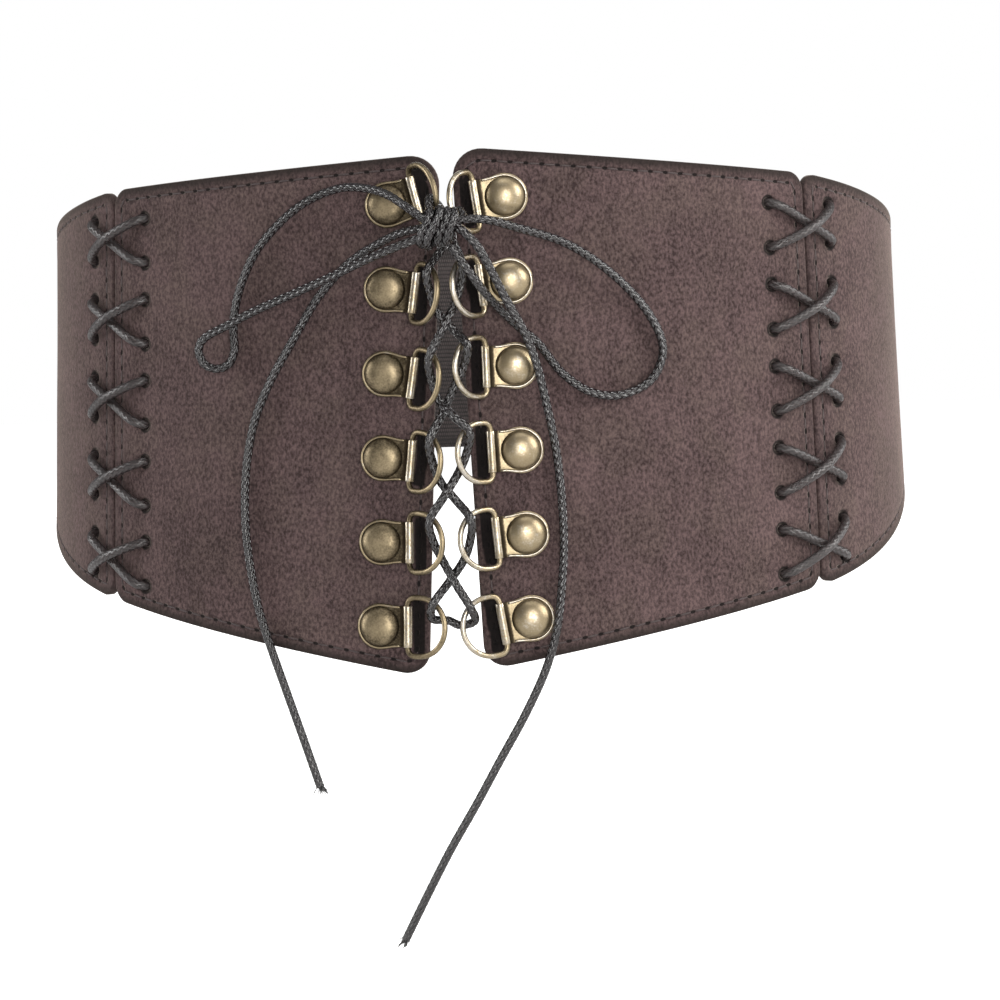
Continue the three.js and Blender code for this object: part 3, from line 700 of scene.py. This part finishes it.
nodes, given, result = new_group(
    "sewn_hem", {"UV": "Vector"}, {"Pits": "Float", "Groove": "Float", "Edge": "Float"})
along, inset = nodes.split(given["UV"])
off_line = nodes.math("ABSOLUTE", nodes.math("SUBTRACT", inset, STITCH_LINE))
beat = nodes.math("FLOORED_MODULO", nodes.math("DIVIDE", along, STITCH_PITCH), 1.0)
from_pit = nodes.times(nodes.math("ABSOLUTE", nodes.math("SUBTRACT", beat, 0.5)), STITCH_PITCH)
reach = nodes.math("POWER", nodes.math("ADD", *(
    nodes.math("POWER", nodes.math("DIVIDE", gap, half_size), 2.0)
    for gap, half_size in ((off_line, 0.42 * MM), (from_pit, 0.78 * MM)))), 0.5)
nodes.put(result, {"Pits": nodes.spread(reach, 1.25, 0.7),
                   "Groove": nodes.spread(off_line, *mm(0.9, 0.1)),
                   "Edge": nodes.spread(inset, *mm(3.3, 0.4))})
hem_group = nodes.tree

# %% Suede material
suede, nodes, shader = new_material("faux_suede", 0.92)
nap = nodes.make("Group", {
    "Vector": nodes.read("Object"), "Dark": (0.024, 0.0152, 0.0152, 1),
    "Light": (0.094, 0.062, 0.0612, 1)}, node_tree=nap_group)
hem = nodes.make("Group", {"UV": nodes.read("UV", "UVMap", uv_map="hem")}, node_tree=hem_group)
level, painted_shade = (nodes.read("Fac", "Attribute", attribute_name=name) for name in ("level", "painted_shade"))
colour = nap["Color"]
for share, shade in (
        # painted shade along the rolled edge, strongest on the upper and lower edges
        (nodes.times(hem["Edge"], nodes.scaled(level, 0.65, 0.2)), (0.011, 0.0088, 0.0078)),
        # painted shade in the pressed stitch groove
        (nodes.times(hem["Groove"], 0.25), (0.013, 0.0095, 0.0095)),
        # painted shade in the needle holes
        (nodes.times(hem["Pits"], 0.92), (0.004, 0.003, 0.003)),
        # painted shade beside each barrel and round each lace hole
        (nodes.times(nodes.spread(painted_shade, 0.2, 0.75), 0.94), (0.003, 0.0024, 0.0024))):
    colour = nodes.blend(share, colour, shade)
dents = nodes.scaled(hem["Pits"], -2.2, nap["Height"])
nodes.put(shader, {
    "Base Color": colour, "Normal": nodes.bump(dents, 0.7, 0.22 * MM),
    "Specular IOR Level": 0.15, "Sheen Weight": 0.22, "Sheen Roughness": 0.4,
    "Sheen Tint": (0.9, 0.74, 0.64, 1)})

# %% [markdown]
# ## Panels
# A panel is cut flat, punched, and then wrapped. The grid is first bent to the pattern's
# outline, with close rows along the edges where the cloth rolls over. Round each lace hole the
# grid is refined, opened and pushed out to a circle. Solidify gives the wall, and a last pass
# rounds every edge, presses the seam and the holes in, and bends the piece round the waist.


# %% Outline of a panel
CORNER_TOP, CORNER_BOTTOM, SEAM_CORNER, REAR_CORNER = mm(8, 7, 4.5, 7)
SIDE_START = SEAM_AT + SEAM_GAP / 2
SIDE_LENGTH, SIDE_TOP_FALL, SIDE_BOTTOM_CLIMB = mm(72, 16.2, 29)


def corner_steps(radius, steps=9):
    turns = [math.pi / 2 * i / steps for i in range(steps + 1)]
    return [(radius * (1 - math.cos(a)), radius * (1 - math.sin(a))) for a in turns]


def front_columns(side):
    """Top and bottom places of each column of the front panel, from the laced edge to the seam."""
    seam_edge = SEAM_AT - SEAM_GAP / 2
    pairs = []
    for (t_in, t_drop), (b_in, b_drop) in zip(
            corner_steps(CORNER_TOP), corner_steps(CORNER_BOTTOM)):
        pairs.append((GAP_HALF_TOP + t_in, t_drop, GAP_HALF_BOTTOM + b_in, b_drop))
    for share in np.linspace(0, 1, 50)[1:-1]:
        top, bottom = (
            start + share * (seam_edge - SEAM_CORNER - start)
            for start in (GAP_HALF_TOP + CORNER_TOP, GAP_HALF_BOTTOM + CORNER_BOTTOM))
        pairs.append((top, 0, bottom, 0))
    for inset, drop in reversed(corner_steps(SEAM_CORNER)):
        pairs.append((seam_edge - inset, drop, seam_edge - inset, drop))
    columns = []
    for top, drop, bottom, lift in pairs:
        high = FRONT_TOP - TOP_FALL * top / SEAM_AT - drop
        low = FRONT_BOTTOM + BOTTOM_CLIMB * bottom / SEAM_AT + lift
        columns.append([(side * top, high + slip_at(side * top)),
                        (side * bottom, low + slip_at(side * bottom))])
    return columns


def side_edges(along):
    """Height of the side panel's upper and lower edge: near straight at first, then falling."""
    share = (along - SIDE_START) / SIDE_LENGTH
    return (SEAM_TOP - SIDE_TOP_FALL * (0.68 * share + 0.32 * share ** 2),
            SEAM_BOTTOM + SIDE_BOTTOM_CLIMB * (0.46 * share + 0.54 * share ** 2))


def side_columns(side):
    end = SIDE_START + SIDE_LENGTH
    places = [(SIDE_START + inset, drop) for inset, drop in corner_steps(SEAM_CORNER)]
    places += [(a, 0) for a in np.linspace(
        SIDE_START + SEAM_CORNER, end - REAR_CORNER, 36)[1:-1]]
    places += [(end - inset, drop) for inset, drop in reversed(corner_steps(REAR_CORNER))]
    columns = []
    for along, drop in places:
        top, bottom = side_edges(along)
        columns.append([(side * along, top - drop), (side * along, bottom + drop)])
    return columns


# %% Edge rows and the distance to the outline
# how far the grid's rows lie from an edge, in millimetres
EDGE_ROWS = [0, 0.12, 0.35, 0.7, 1.15, 1.7, 2.3, 2.8, 3.2, 3.8, 4.8, 6.2]


def row_shares(height, middle_rows):
    """Shares of a column's height: close rows at both edges, even ones between."""
    near = [d * MM / height for d in EDGE_ROWS]
    between = np.linspace(near[-1], 1 - near[-1], middle_rows + 2)[1:-1]
    return near + list(between) + [1 - share for share in reversed(near)]


def outline_of(columns):
    """The closed outline, finely cut, running round the pattern, and its inward normals."""
    loop = [top for top, _ in columns] + [bottom for _, bottom in reversed(columns)]
    loop = np.array(loop + loop[:1])
    runs = runs_of(loop)
    line = places_at(runs, loop, np.arange(0, runs[-1], 0.4 * MM))
    ahead = np.roll(line, -1, axis=0) - np.roll(line, 1, axis=0)
    ahead /= np.linalg.norm(ahead, axis=1)[:, None]
    turning = 1 if columns[-1][0][0] > columns[0][0][0] else -1
    inward = np.stack([ahead[:, 1], -ahead[:, 0]], axis=1) * turning
    return line, inward


def nearest(points, line):
    """For each point, the distance to the closed line, how far along it and at which index."""
    following = np.roll(line, -1, axis=0) - line
    spans = np.linalg.norm(following, axis=1)
    starts = np.concatenate([[0], np.cumsum(spans)[:-1]])
    distance, run, index = np.empty(len(points)), np.empty(len(points)), []
    for i, point in enumerate(points):
        offset = point - line
        share = np.clip((offset * following).sum(axis=1) / spans ** 2, 0, 1)
        gaps = np.linalg.norm(offset - following * share[:, None], axis=1)
        k = int(gaps.argmin())
        distance[i], run[i] = gaps[k], starts[k] + share[k] * spans[k]
        index.append(k)
    return distance, run, index, float(spans.sum())


# %% [markdown]
# ### Painted shade on the cloth
# The cloth is painted almost black where it lies in shade: in a band beside each barrel,
# inside the ring, where the barrel and ring shade it, and in a short smear at each lace hole,
# its painted shadow, on the side where the lace comes out. A value at every point of the panel
# holds this painted shade, and the material paints it.

# %% Painted shade marks
LACE_HOLE_RADIUS = 1.12 * MM


def soft_box(x, low, high, edge=0.5 * MM):
    """1 between low and high, falling to 0 within edge outside them."""
    return max(0.0, min(1.0, 1 + (x - low) / edge, 1 + (high - x) / edge))


def barrel_shade(along, up):
    """1 in the band of painted shade beside a barrel, inside its ring."""
    side, mark = (1 if along > 0 else -1), 0.0
    for row in range(RING_ROWS):
        at, height, _ = rivet_place(side, row)
        turn = tab_turn(side, row)
        reach = (along - at) * math.cos(turn) + (up - height) * math.sin(turn)
        across = (up - height) * math.cos(turn) - (along - at) * math.sin(turn)
        start = BARREL_REACH + 0.6 * BARREL_RADIUS
        mark = max(mark, soft_box(reach, start, start + 2.6 * MM) * soft_box(
            abs(across), 0, RING_HEIGHT / 2 - 2 * WIRE_RADIUS))
    return mark


def hole_shade(along, up, holes):
    """1 in the painted shadow round a lace hole, with a short smear away from the seam."""
    away = 1 if abs(along) > SEAM_AT else -1
    mark = 0.0
    for at, height in holes:
        x, y = (abs(along) - abs(at)) * away, up - height
        stretch = 1.9 * MM if x > 0 else 1.5 * MM
        mark = max(mark, soft_box(math.hypot(x / stretch, y / (1.6 * MM)), 0, 1.0, 0.5))
    return mark


# %% Lace holes and rounded edges
REFINE_REACH, RIM_REACH = mm(2.2, 1.0)


def punch(shape, holes, radius):
    """Refines the flat grid round each hole, opens it and pushes its rim out to a circle."""
    for hole in holes:
        middle = Vector((hole[0], hole[1], 0))
        near = {edge for face in shape.faces
                if (face.calc_center_median() - middle).length < radius + REFINE_REACH
                for edge in face.edges}
        bmesh.ops.subdivide_edges(shape, edges=list(near), cuts=3, use_grid_fill=True)
        inside = [face for face in shape.faces
                  if (face.calc_center_median() - middle).length < radius]
        bmesh.ops.delete(shape, geom=inside, context="FACES")
        for vert in shape.verts:
            if vert.is_boundary and (vert.co - middle).length < radius + RIM_REACH:
                vert.co = middle + (vert.co - middle).normalized() * radius


def rounded(distance, radius):
    """How far a face has dropped at this distance from an edge rounded over."""
    inside = min(max(radius - distance, 0), radius)
    return radius - math.sqrt(max(radius ** 2 - inside ** 2, 0))


# %% From flat pattern to wrapped panel
HOLE_ROUNDING, HOLE_DENT, HOLE_DENT_REACH = mm(0.45, 0.55, 1.3)
GROOVE_WIDTH, SAG_FADE = mm(0.55, 9)
SAG_WAVES = 26


def flat_panel(columns, wall, holes, middle_rows):
    """The punched cloth with its wall, its outer face at height 0."""
    heights = [math.dist(top, bottom) for top, bottom in columns]
    shares = row_shares(min(heights[0], heights[-1]), middle_rows)
    last = len(columns) - 1

    def flat(u, v):
        top, bottom = columns[round(u * last)]
        share = shares[round(v * (len(shares) - 1))]
        return Vector((bottom[0] + (top[0] - bottom[0]) * share,
                       bottom[1] + (top[1] - bottom[1]) * share, 0))

    shape = bent_grid(last, len(shares) - 1, flat, lambda u, v: flat(u, v)[:2])
    face_outwards(shape)
    shape.faces.ensure_lookup_table()
    if shape.faces[0].normal.z < 0:
        bmesh.ops.reverse_faces(shape, faces=shape.faces)
    punch(shape, holes, LACE_HOLE_RADIUS)
    bmesh.ops.solidify(shape, geom=shape.faces[:], thickness=wall)
    front_side = max(vert.co.z for vert in shape.verts)
    for vert in shape.verts:
        vert.co.z -= front_side
    return shape


def map_hem(shape, line, inward):
    """A UV map of run along the stitch line and distance from the edge, with the distances."""
    hem_uv = shape.loops.layers.uv.new("hem")
    places = np.array([vert.co[:2] for vert in shape.verts])
    distances, _, at, _ = nearest(places, line)
    _, run, _, total = nearest(places, line + inward * STITCH_LINE)
    pitch_scale = STITCH_PITCH * round(total / STITCH_PITCH) / total
    index = {vert: i for i, vert in enumerate(shape.verts)}
    for face in shape.faces:
        runs = [run[index[loop.vert]] for loop in face.loops]
        wraps = max(runs) - min(runs) > total / 2
        for loop, along in zip(face.loops, runs):
            if wraps and along < total / 2:
                along += total
            loop[hem_uv].uv = (along * pitch_scale, distances[index[loop.vert]])
    return distances, at


def wrapped_panel(columns, wall, holes=(), middle_rows=46, with_painted_shade=True, outer_lift=0.0,
                  roll=0.55 * MM, settle=0.35 * MM, groove=0.22 * MM):
    shape = flat_panel(columns, wall, holes, middle_rows)
    line, inward = outline_of(columns)
    painted_shade, level = (shape.verts.layers.float.new(name) for name in ("painted_shade", "level"))
    distances, at = map_hem(shape, line, inward)
    for vert, distance, k in zip(shape.verts, distances, at):
        along, up, depth = vert.co
        vert[level] = abs(inward[k][1])
        from_hole = min((math.dist((along, up), hole) for hole in holes), default=1)
        from_hole -= LACE_HOLE_RADIUS
        drop = rounded(distance, roll) + rounded(from_hole, HOLE_ROUNDING)
        if depth > -wall / 2:
            if with_painted_shade:
                vert[painted_shade] = max(barrel_shade(along, up), hole_shade(along, up, holes))
            sag = 0.5 + 0.5 * noise.noise(Vector((along * SAG_WAVES, up * SAG_WAVES, 1.7)))
            press = settle * sag * min(1, distance / SAG_FADE)
            press += groove * math.exp(-((distance - STITCH_LINE) / GROOVE_WIDTH) ** 2)
            press += HOLE_DENT * math.exp(-(max(from_hole, 0) / HOLE_DENT_REACH) ** 2)
            lift = -drop - press
        else:
            lift = -wall + drop
        vert.co = on_belt(along, up, outer_lift + lift)
    return shape, line, inward


# %% [markdown]
# ## Stitches
# The hem is sewn all round with a lockstitch in thread of the cloth's own colour. What shows is
# a row of short raised stitches in a pressed groove, with a dark needle hole between each two.
# The material paints each hole as a dent filled with painted shade; the stitches are small
# twisted lengths of thread laid on it.

# %% Thread material
thread, nodes, shader = new_material("sewing_thread", 0.7)
twist = nodes.make("TexWave", {"Vector": nodes.read("Object"), "Scale": 900, "Distortion": 1.2},
                   wave_type="BANDS", bands_direction="DIAGONAL")["Fac"]
fuzz = nodes.noise(nodes.read("Object"), 2600, 2)
nodes.put(shader, {"Base Color": nodes.blend(fuzz, (0.018, 0.012, 0.012), (0.062, 0.042, 0.041)),
                   "Normal": nodes.bump(twist, 0.4, 0.08 * MM)})

# %% Laying the stitches
STITCH_SIZES = mm(1.5, 0.26, 0.24)


def stitch_mesh():
    mesh, shape = bpy.data.meshes.new("stitch"), bmesh.new()
    sizes = Matrix.Diagonal((*STITCH_SIZES, 1)) @ Matrix.Rotation(math.pi / 2, 4, "Y")
    bmesh.ops.create_uvsphere(shape, u_segments=6, v_segments=6, radius=1.0, matrix=sizes)
    shape.to_mesh(mesh)
    shape.free()
    return mesh


def sew(name, line, inward):
    path = line + inward * STITCH_LINE
    closed = np.concatenate([path, path[:1]])
    runs = runs_of(closed)
    count = round(runs[-1] / STITCH_PITCH)
    one, row = stitch_mesh(), bmesh.new()
    for i in range(count):
        run = runs[-1] * i / count
        here, ahead = (places_at(runs, closed, at) for at in (run, (run + 0.5 * MM) % runs[-1]))
        # no stitches where the band of painted shade lies beside a barrel
        if barrel_shade(*here) > 0.3:
            continue
        turn = math.atan2(ahead[1] - here[1], ahead[0] - here[0]) + random.uniform(-0.06, 0.06)
        sunk = Matrix.Translation((0, 0, -STITCH_SIZES[2]))
        place = belt_frame(*here) @ sunk @ Matrix.Rotation(turn, 4, "Z")
        before = len(row.verts)
        row.from_mesh(one)
        row.verts.ensure_lookup_table()
        bmesh.ops.transform(row, matrix=place, verts=row.verts[before:])
    bpy.data.meshes.remove(one)
    finish_piece(name, row, thread)
    return count


# %% Four suede panels
for side_name, side in SIDES.items():
    for part, columns, rows in (
            ("front", front_columns(side), 56), ("side", side_columns(side), 34)):
        holes = [tuple(cross_hole(side, row, part, level))
                 for row in range(CROSSES) for level in (1, -1)]
        shape, line, inward = wrapped_panel(columns, PANEL_WALL, holes, rows)
        panel = finish_piece(f"suede_{part}_{side_name}", shape, suede,
                             f"{part}_panel_{side_name}")
        count = sew(f"stitches_{part}_{side_name}", line, inward)
        print(panel.name, "faces:", len(panel.data.polygons), "stitches:", count)

# %% [markdown]
# ## Elastic back
# The loop is closed behind by a wide woven elastic. Fine cords of rubber run along such a band,
# and the weft pulls them into narrow ribs. They follow the band, so they are drawn on its pattern
# coordinates. Along both edges runs a selvedge of closer, darker weave, behind a pressed line.

# %% Elastic material
RIB_PITCH, WEFT_PITCH = mm(1.15, 0.62)

elastic, nodes, shader = new_material("woven_elastic", 0.85)
along, up = nodes.split(nodes.read("UV"))
waves = lambda phase: nodes.math("ABSOLUTE", nodes.math("SINE", phase))
ribs = waves(nodes.times(up, math.pi / RIB_PITCH))
rib = nodes.math("FLOOR", nodes.math("DIVIDE", up, RIB_PITCH))
weft = waves(nodes.scaled(rib, math.pi / 2, nodes.times(along, math.pi / WEFT_PITCH)))
weave = nodes.times(ribs, nodes.scaled(weft, 0.55, 0.45))
worn = nodes.noise(nodes.read("Object"), 420, 3)
_, inset = nodes.split(nodes.read("UV", "UVMap", uv_map="hem"))
tone = nodes.blend(nodes.spread(weave, 0.1, 0.9), (0.0125, 0.0094, 0.009),
                   (0.05, 0.0378, 0.0362))
tone = nodes.blend(nodes.spread(worn, 0.45, 0.8, 0, 0.35), tone, (0.072, 0.056, 0.053))
selvedge = nodes.spread(inset, 3.1 * MM, 2.6 * MM, 0, 0.6)
nodes.put(shader, {
    "Base Color": nodes.blend(selvedge, tone, (0.012, 0.009, 0.0086)),
    "Normal": nodes.bump(weave, 0.7, 0.25 * MM), "Sheen Weight": 0.2, "Sheen Roughness": 0.5})

# %% Back band
BAND_WALL, BAND_LAP, BAND_INSET, PIECE_GAP = mm(1.6, 12, 1.5, 0.3)
side_end = SIDE_START + SIDE_LENGTH
top, bottom = side_edges(side_end)
band_columns = [
    [(along, top - BAND_INSET), (along, bottom + BAND_INSET)]
    for along in np.linspace(side_end - BAND_LAP, 2 * HALF_LOOP - side_end + BAND_LAP, 180)]
shape, _, _ = wrapped_panel(
    band_columns, BAND_WALL, middle_rows=12, with_painted_shade=False, outer_lift=-PANEL_WALL - PIECE_GAP,
    roll=0.5 * MM, settle=0.25 * MM, groove=0.15 * MM)
finish_piece("elastic_band", shape, elastic, "back_band")

# %% [markdown]
# ## Antique brass
# The hardware is brass that was darkened in a bath and then polished, so dark patina stays low
# and bright metal shows on whatever stands proud. Each piece carries a wear value at every
# point, 0 in a recess and 1 on a crest, and noise breaks up the border between the two. The
# sets on the left get lower values and those on the right higher ones: painted shade and
# painted light, for the light that comes from the right.

# %% Brass material
brass, nodes, shader = new_material("antique_brass", 0.34, metallic=1.0)
wear = nodes.read("Fac", "Attribute", attribute_name="wear")
stain = nodes.noise(nodes.read("Object"), 330, 4, 0.6)
speck = nodes.noise(nodes.read("Object"), 2100, 2, 0.6)
shown = nodes.math("ADD", wear, nodes.scaled(stain, 0.44, -0.22))
shown = nodes.math("ADD", shown, nodes.scaled(speck, 0.36, -0.18), clamp=True)
tone = nodes.blend(nodes.spread(shown, 0.05, 0.5), (0.034, 0.0255, 0.016), (0.28, 0.225, 0.142))
nodes.put(shader, {
    "Base Color": nodes.blend(nodes.spread(shown, 0.5, 0.8), tone, (0.5, 0.468, 0.415)),
    "Roughness": nodes.spread(shown, 0.0, 0.9, 0.52, 0.3),
    "Normal": nodes.bump(nodes.scaled(speck, 0.5, stain), 0.25, 0.05 * MM)})


def set_wear(shape, wear_of):
    layer = shape.verts.layers.float.new("wear")
    for vert in shape.verts:
        vert[layer] = min(1.0, max(0.0, wear_of(vert.co)))
    return shape


# %% [markdown]
# ## Folded tabs
# A tab is one strip of sheet brass: it lies on the cloth, rolls over the ring's bar, and comes
# back over itself, so the rivet goes through two layers. The grid follows that fold from one
# round end to the other, Solidify gives the sheet its thickness, and a thin raised rim runs
# round the upper layer, as the stamped one has.

# %% Tab pattern
SHEET, LOWER_LAYER, UPPER_LAYER = mm(0.5, 0.55, 1.15)
RIM_RADIUS, RIM_INSET, RIM_HEIGHT = mm(0.3, 0.32, 1.46)
UPPER_SHARE = 0.965


def tab_fold():
    """The fold seen from the side, as (reach, lift), from the lower round end to the upper one."""
    middle = BARREL_RADIUS - SHEET / 2
    ends = [-math.cos(a) * (TAB_END_RADIUS - 0.02 * MM) for a in np.linspace(0, math.pi / 2, 12)]
    fold = [(x, LOWER_LAYER) for x in [*ends, *mm(1.5, 3, 4.5, 6)]]
    for a in np.linspace(-math.pi / 2, math.radians(200), 22):
        fold.append((BARREL_REACH + middle * math.cos(a), BARREL_LIFT + middle * math.sin(a)))
    fold.append((5.7 * MM, 1.2 * MM))
    upper = mm(5.1, 3.5, 2, 1) + [x * UPPER_SHARE for x in reversed(ends)]
    return fold + [(x, UPPER_LAYER) for x in upper]


def half_width(reach, lift):
    end = TAB_END_RADIUS if lift < 0.9 * MM else TAB_END_RADIUS * UPPER_SHARE
    if reach < 0:
        return math.sqrt(max(end ** 2 - reach ** 2, 0))
    neck = min(1, reach / (4.5 * MM))
    return end + (TAB_WIDTH / 2 - end) * neck * neck * (3 - 2 * neck)


def tab_sheet():
    fold = tab_fold()

    def place(u, v):
        reach, lift = fold[round(u * (len(fold) - 1))]
        return Vector((reach, (2 * v - 1) * half_width(reach, lift), lift))

    sheet = bent_grid(len(fold) - 1, 8, place, lambda u, v: (u, v))
    bmesh.ops.remove_doubles(sheet, verts=sheet.verts, dist=0.01 * MM)
    face_outwards(sheet)
    bmesh.ops.solidify(sheet, geom=sheet.faces[:], thickness=SHEET)
    face_outwards(sheet)
    sharp = [e for e in sheet.edges if len(e.link_faces) == 2 and e.calc_face_angle() > 0.9]
    bmesh.ops.bevel(sheet, geom=sharp, offset=0.1 * MM, offset_type="OFFSET", affect="EDGES",
                    segments=2, profile=0.5, material=-1)
    return sheet


def tab_rim():
    side = [(x, half_width(x, UPPER_LAYER) - RIM_INSET) for x in mm(5.2, 4, 3, 2, 1)]
    bow = TAB_END_RADIUS * UPPER_SHARE - RIM_INSET
    round_end = [(bow * math.cos(a), bow * math.sin(a))
                 for a in (math.pi / 2 + math.pi * k / 24 for k in range(25))]
    outline = side + round_end + [(x, -y) for x, y in reversed(side)]
    points, _ = smooth_route([Vector((*place, RIM_HEIGHT)) for place in outline],
                             spacing=0.5 * MM)
    return tube(points, RIM_RADIUS, sides=8)


def tab_shape(polish_and_side_light):
    """Sheet and rim, dark beside the barrel and worn brightest along the barrel."""
    sheet_wear = lambda co: 0.62 if co.x > 6.4 * MM else 0.0 if co.x > 5.3 * MM else polish_and_side_light
    whole = bmesh.new()
    whole.verts.layers.float.new("wear")
    join(whole, set_wear(tab_sheet(), sheet_wear))
    join(whole, set_wear(tab_rim(), lambda co: 0.4 + 0.6 * polish_and_side_light))
    return whole


# %% [markdown]
# ## Rivets and rings
# A rivet is turned: its half outline is spun about its axis into the domed cap, the shank and
# the flat cap inside. The caps on the left are pressed flatter than those on the right. A ring
# is one wire bent to a D, thin enough to turn in the barrel.


# %% Turned rivets
CAP_SEAT, CAP_RADIUS = mm(1.45, 4.9)
# the rest of the half outline, from under the dome to the inside: radius, height
RIVET_TURNS = [(5.0, 1.7), (5.0, 1.5), (4.9, 1.45), (1.5, 1.45), (1.5, -2.5), (3.5, -2.5),
               (3.6, -2.6), (3.6, -3.1), (3.3, -3.4), (0, -3.5)]


def rivet_shape(crown, power, fall, polish_and_side_light):
    radii = [CAP_RADIUS * math.sin(a) for a in np.linspace(0, math.pi / 2, 16)]
    outline = [(r, CAP_SEAT + 0.35 * MM + crown * max(0, 1 - (r / CAP_RADIUS) ** power) ** fall)
               for r in radii] + [mm(*place) for place in RIVET_TURNS]
    shape = bmesh.new()
    verts = [shape.verts.new((r, 0, z)) for r, z in outline]
    edges = [shape.edges.new(pair) for pair in zip(verts, verts[1:])]
    bmesh.ops.spin(shape, geom=verts + edges, cent=(0, 0, 0), axis=(0, 0, 1), dvec=(0, 0, 0),
                   angle=2 * math.pi, steps=40, use_merge=True, use_duplicate=False)
    bmesh.ops.remove_doubles(shape, verts=shape.verts, dist=0.005 * MM)
    face_outwards(shape)
    return set_wear(shape, lambda co: 0.1 if co.z < CAP_SEAT + 0.3 * MM else
                    polish_and_side_light - 0.2 * (co.xy.length / (5 * MM)) ** 3)


# %% Bent wire rings
def ring_shape(polish_and_side_light):
    corner_at = RING_ARC - RING_CORNER
    points = []
    for x, y, radius, start, end, steps in (
            (RING_CORNER, -corner_at, RING_CORNER, 180, 270, 7),
            (RING_ARC_AT, 0, RING_ARC, -90, 90, 22),
            (RING_CORNER, corner_at, RING_CORNER, 90, 180, 7)):
        points += [Vector((x + radius * math.cos(a), y + radius * math.sin(a), 0))
                   for a in np.radians(np.linspace(start, end, steps))]
    points += [Vector((0, corner_at * share, 0)) for share in (0.6, 0.2, -0.2, -0.6)]
    path, _ = smooth_route(points, closed=True, spacing=0.6 * MM)
    ring = tube(path, WIRE_RADIUS, closed=True, sides=14)
    return set_wear(ring, lambda co: polish_and_side_light + 0.2 * co.x / RING_DEPTH + 0.15 * (co.z > 0.3 * MM))


# %% Twelve sets of hardware
# lower values on the left and higher on the right: painted shade and painted light
SETS = {"left": (ring_shape(0.08), tab_shape(0.16), rivet_shape(1.75 * MM, 3.2, 0.75, 0.36)),
        "right": (ring_shape(0.36), tab_shape(0.44), rivet_shape(2.35 * MM, 2.1, 0.6, 0.56))}
for side_name, side in SIDES.items():
    ring, tab, rivet = SETS[side_name]
    for row in range(RING_ROWS):
        number = f"{side_name}_{row + 1}"
        on_cloth, hinged = tab_frame(side, row), ring_frame(side, row)
        for name, shape, matrix, node in (("folded_tab", tab, on_cloth, "tab"),
                                          ("domed_rivet", rivet, on_cloth, "rivet"),
                                          ("wire_ring", ring, hinged, "d_ring")):
            copy = shape.copy()
            bmesh.ops.transform(copy, matrix=matrix, verts=copy.verts)
            finish_piece(f"{name}_{number}", copy, brass, f"{node}_{number}")
print("hardware sets:", 2 * RING_ROWS)

# %% [markdown]
# ## Floor and light
# The belt is shown as it is worn, standing clear of the floor so that its cord ends can hang.
# The floor is plain and pale, and the room dim and even. A soft light close to the camera puts
# a line of light on cord and brass. A broader one comes from the right and a weaker one from
# the left. Those above, at the right edge and behind bring out the nap along the far edges.

# %% Stage
floor_material, nodes, shader = new_material("pale_floor", 0.9)
glow = nodes.times(nodes.read("Is Camera Ray", "LightPath"), 0.75)
nodes.put(shader, {"Base Color": (0.9, 0.9, 0.9, 1), "Emission Color": (1, 1, 1, 1),
                   "Emission Strength": glow})
floor_shape = bmesh.new()
bmesh.ops.create_circle(floor_shape, cap_ends=True, segments=96, radius=3,
                        matrix=Matrix.Translation((0, 0, cad_box[0].z - 4 * MM)))
mesh_object("floor", floor_shape, floor_material)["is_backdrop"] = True

WARM, WHITE = (1.0, 0.985, 0.96), (1, 1, 1)
for name, azimuth, elevation, distance, size, power, colour in (
        ("front_softbox", 12, 6, 1.6, (0.6, 0.9), 18, WARM),
        ("key_softbox", 66, 26, 1.5, (0.7, 0.9), 21, WARM),
        ("fill_softbox", -84, 12, 1.5, (0.6, 1.0), 14, WHITE),
        ("top_softbox", 10, 74, 1.5, (1.0, 0.8), 7, WHITE),
        ("right_strip", 108, 8, 1.4, (0.3, 1.2), 9, WHITE),
        ("back_softbox", 180, 25, 1.8, (1.2, 1.0), 9, WHITE)):
    lamp = bpy.data.lights.new(name, "AREA")
    lamp.shape = "RECTANGLE"
    lamp.size, lamp.size_y = size
    lamp.energy, lamp.color = power, colour
    holder = put_in_scene(name, lamp)
    holder.location = direction(azimuth, elevation) * distance
    holder.rotation_mode = "QUATERNION"
    holder.rotation_quaternion = direction(azimuth, elevation).to_track_quat("Z", "Y")

world = bpy.data.worlds.new("pale_room")
world.use_nodes = True
nodes = Nodes(world.node_tree)
seen = nodes.read("Is Camera Ray", "LightPath")
nodes.put(world.node_tree.nodes["Background"].inputs, {
    "Color": (1, 1, 1, 1), "Strength": nodes.spread(seen, 0, 1, 0.28, 1.0, "LINEAR")})
bpy.context.scene.world = world
bpy.context.scene.view_settings.view_transform = "Standard"

# %% Sizes
size = {"cad": [list(corner) for corner in cad_box], "visual": [list(corner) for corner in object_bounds()]}
print("visual box, mm:", [[round(x / MM, 1) for x in corner] for corner in size["visual"]])
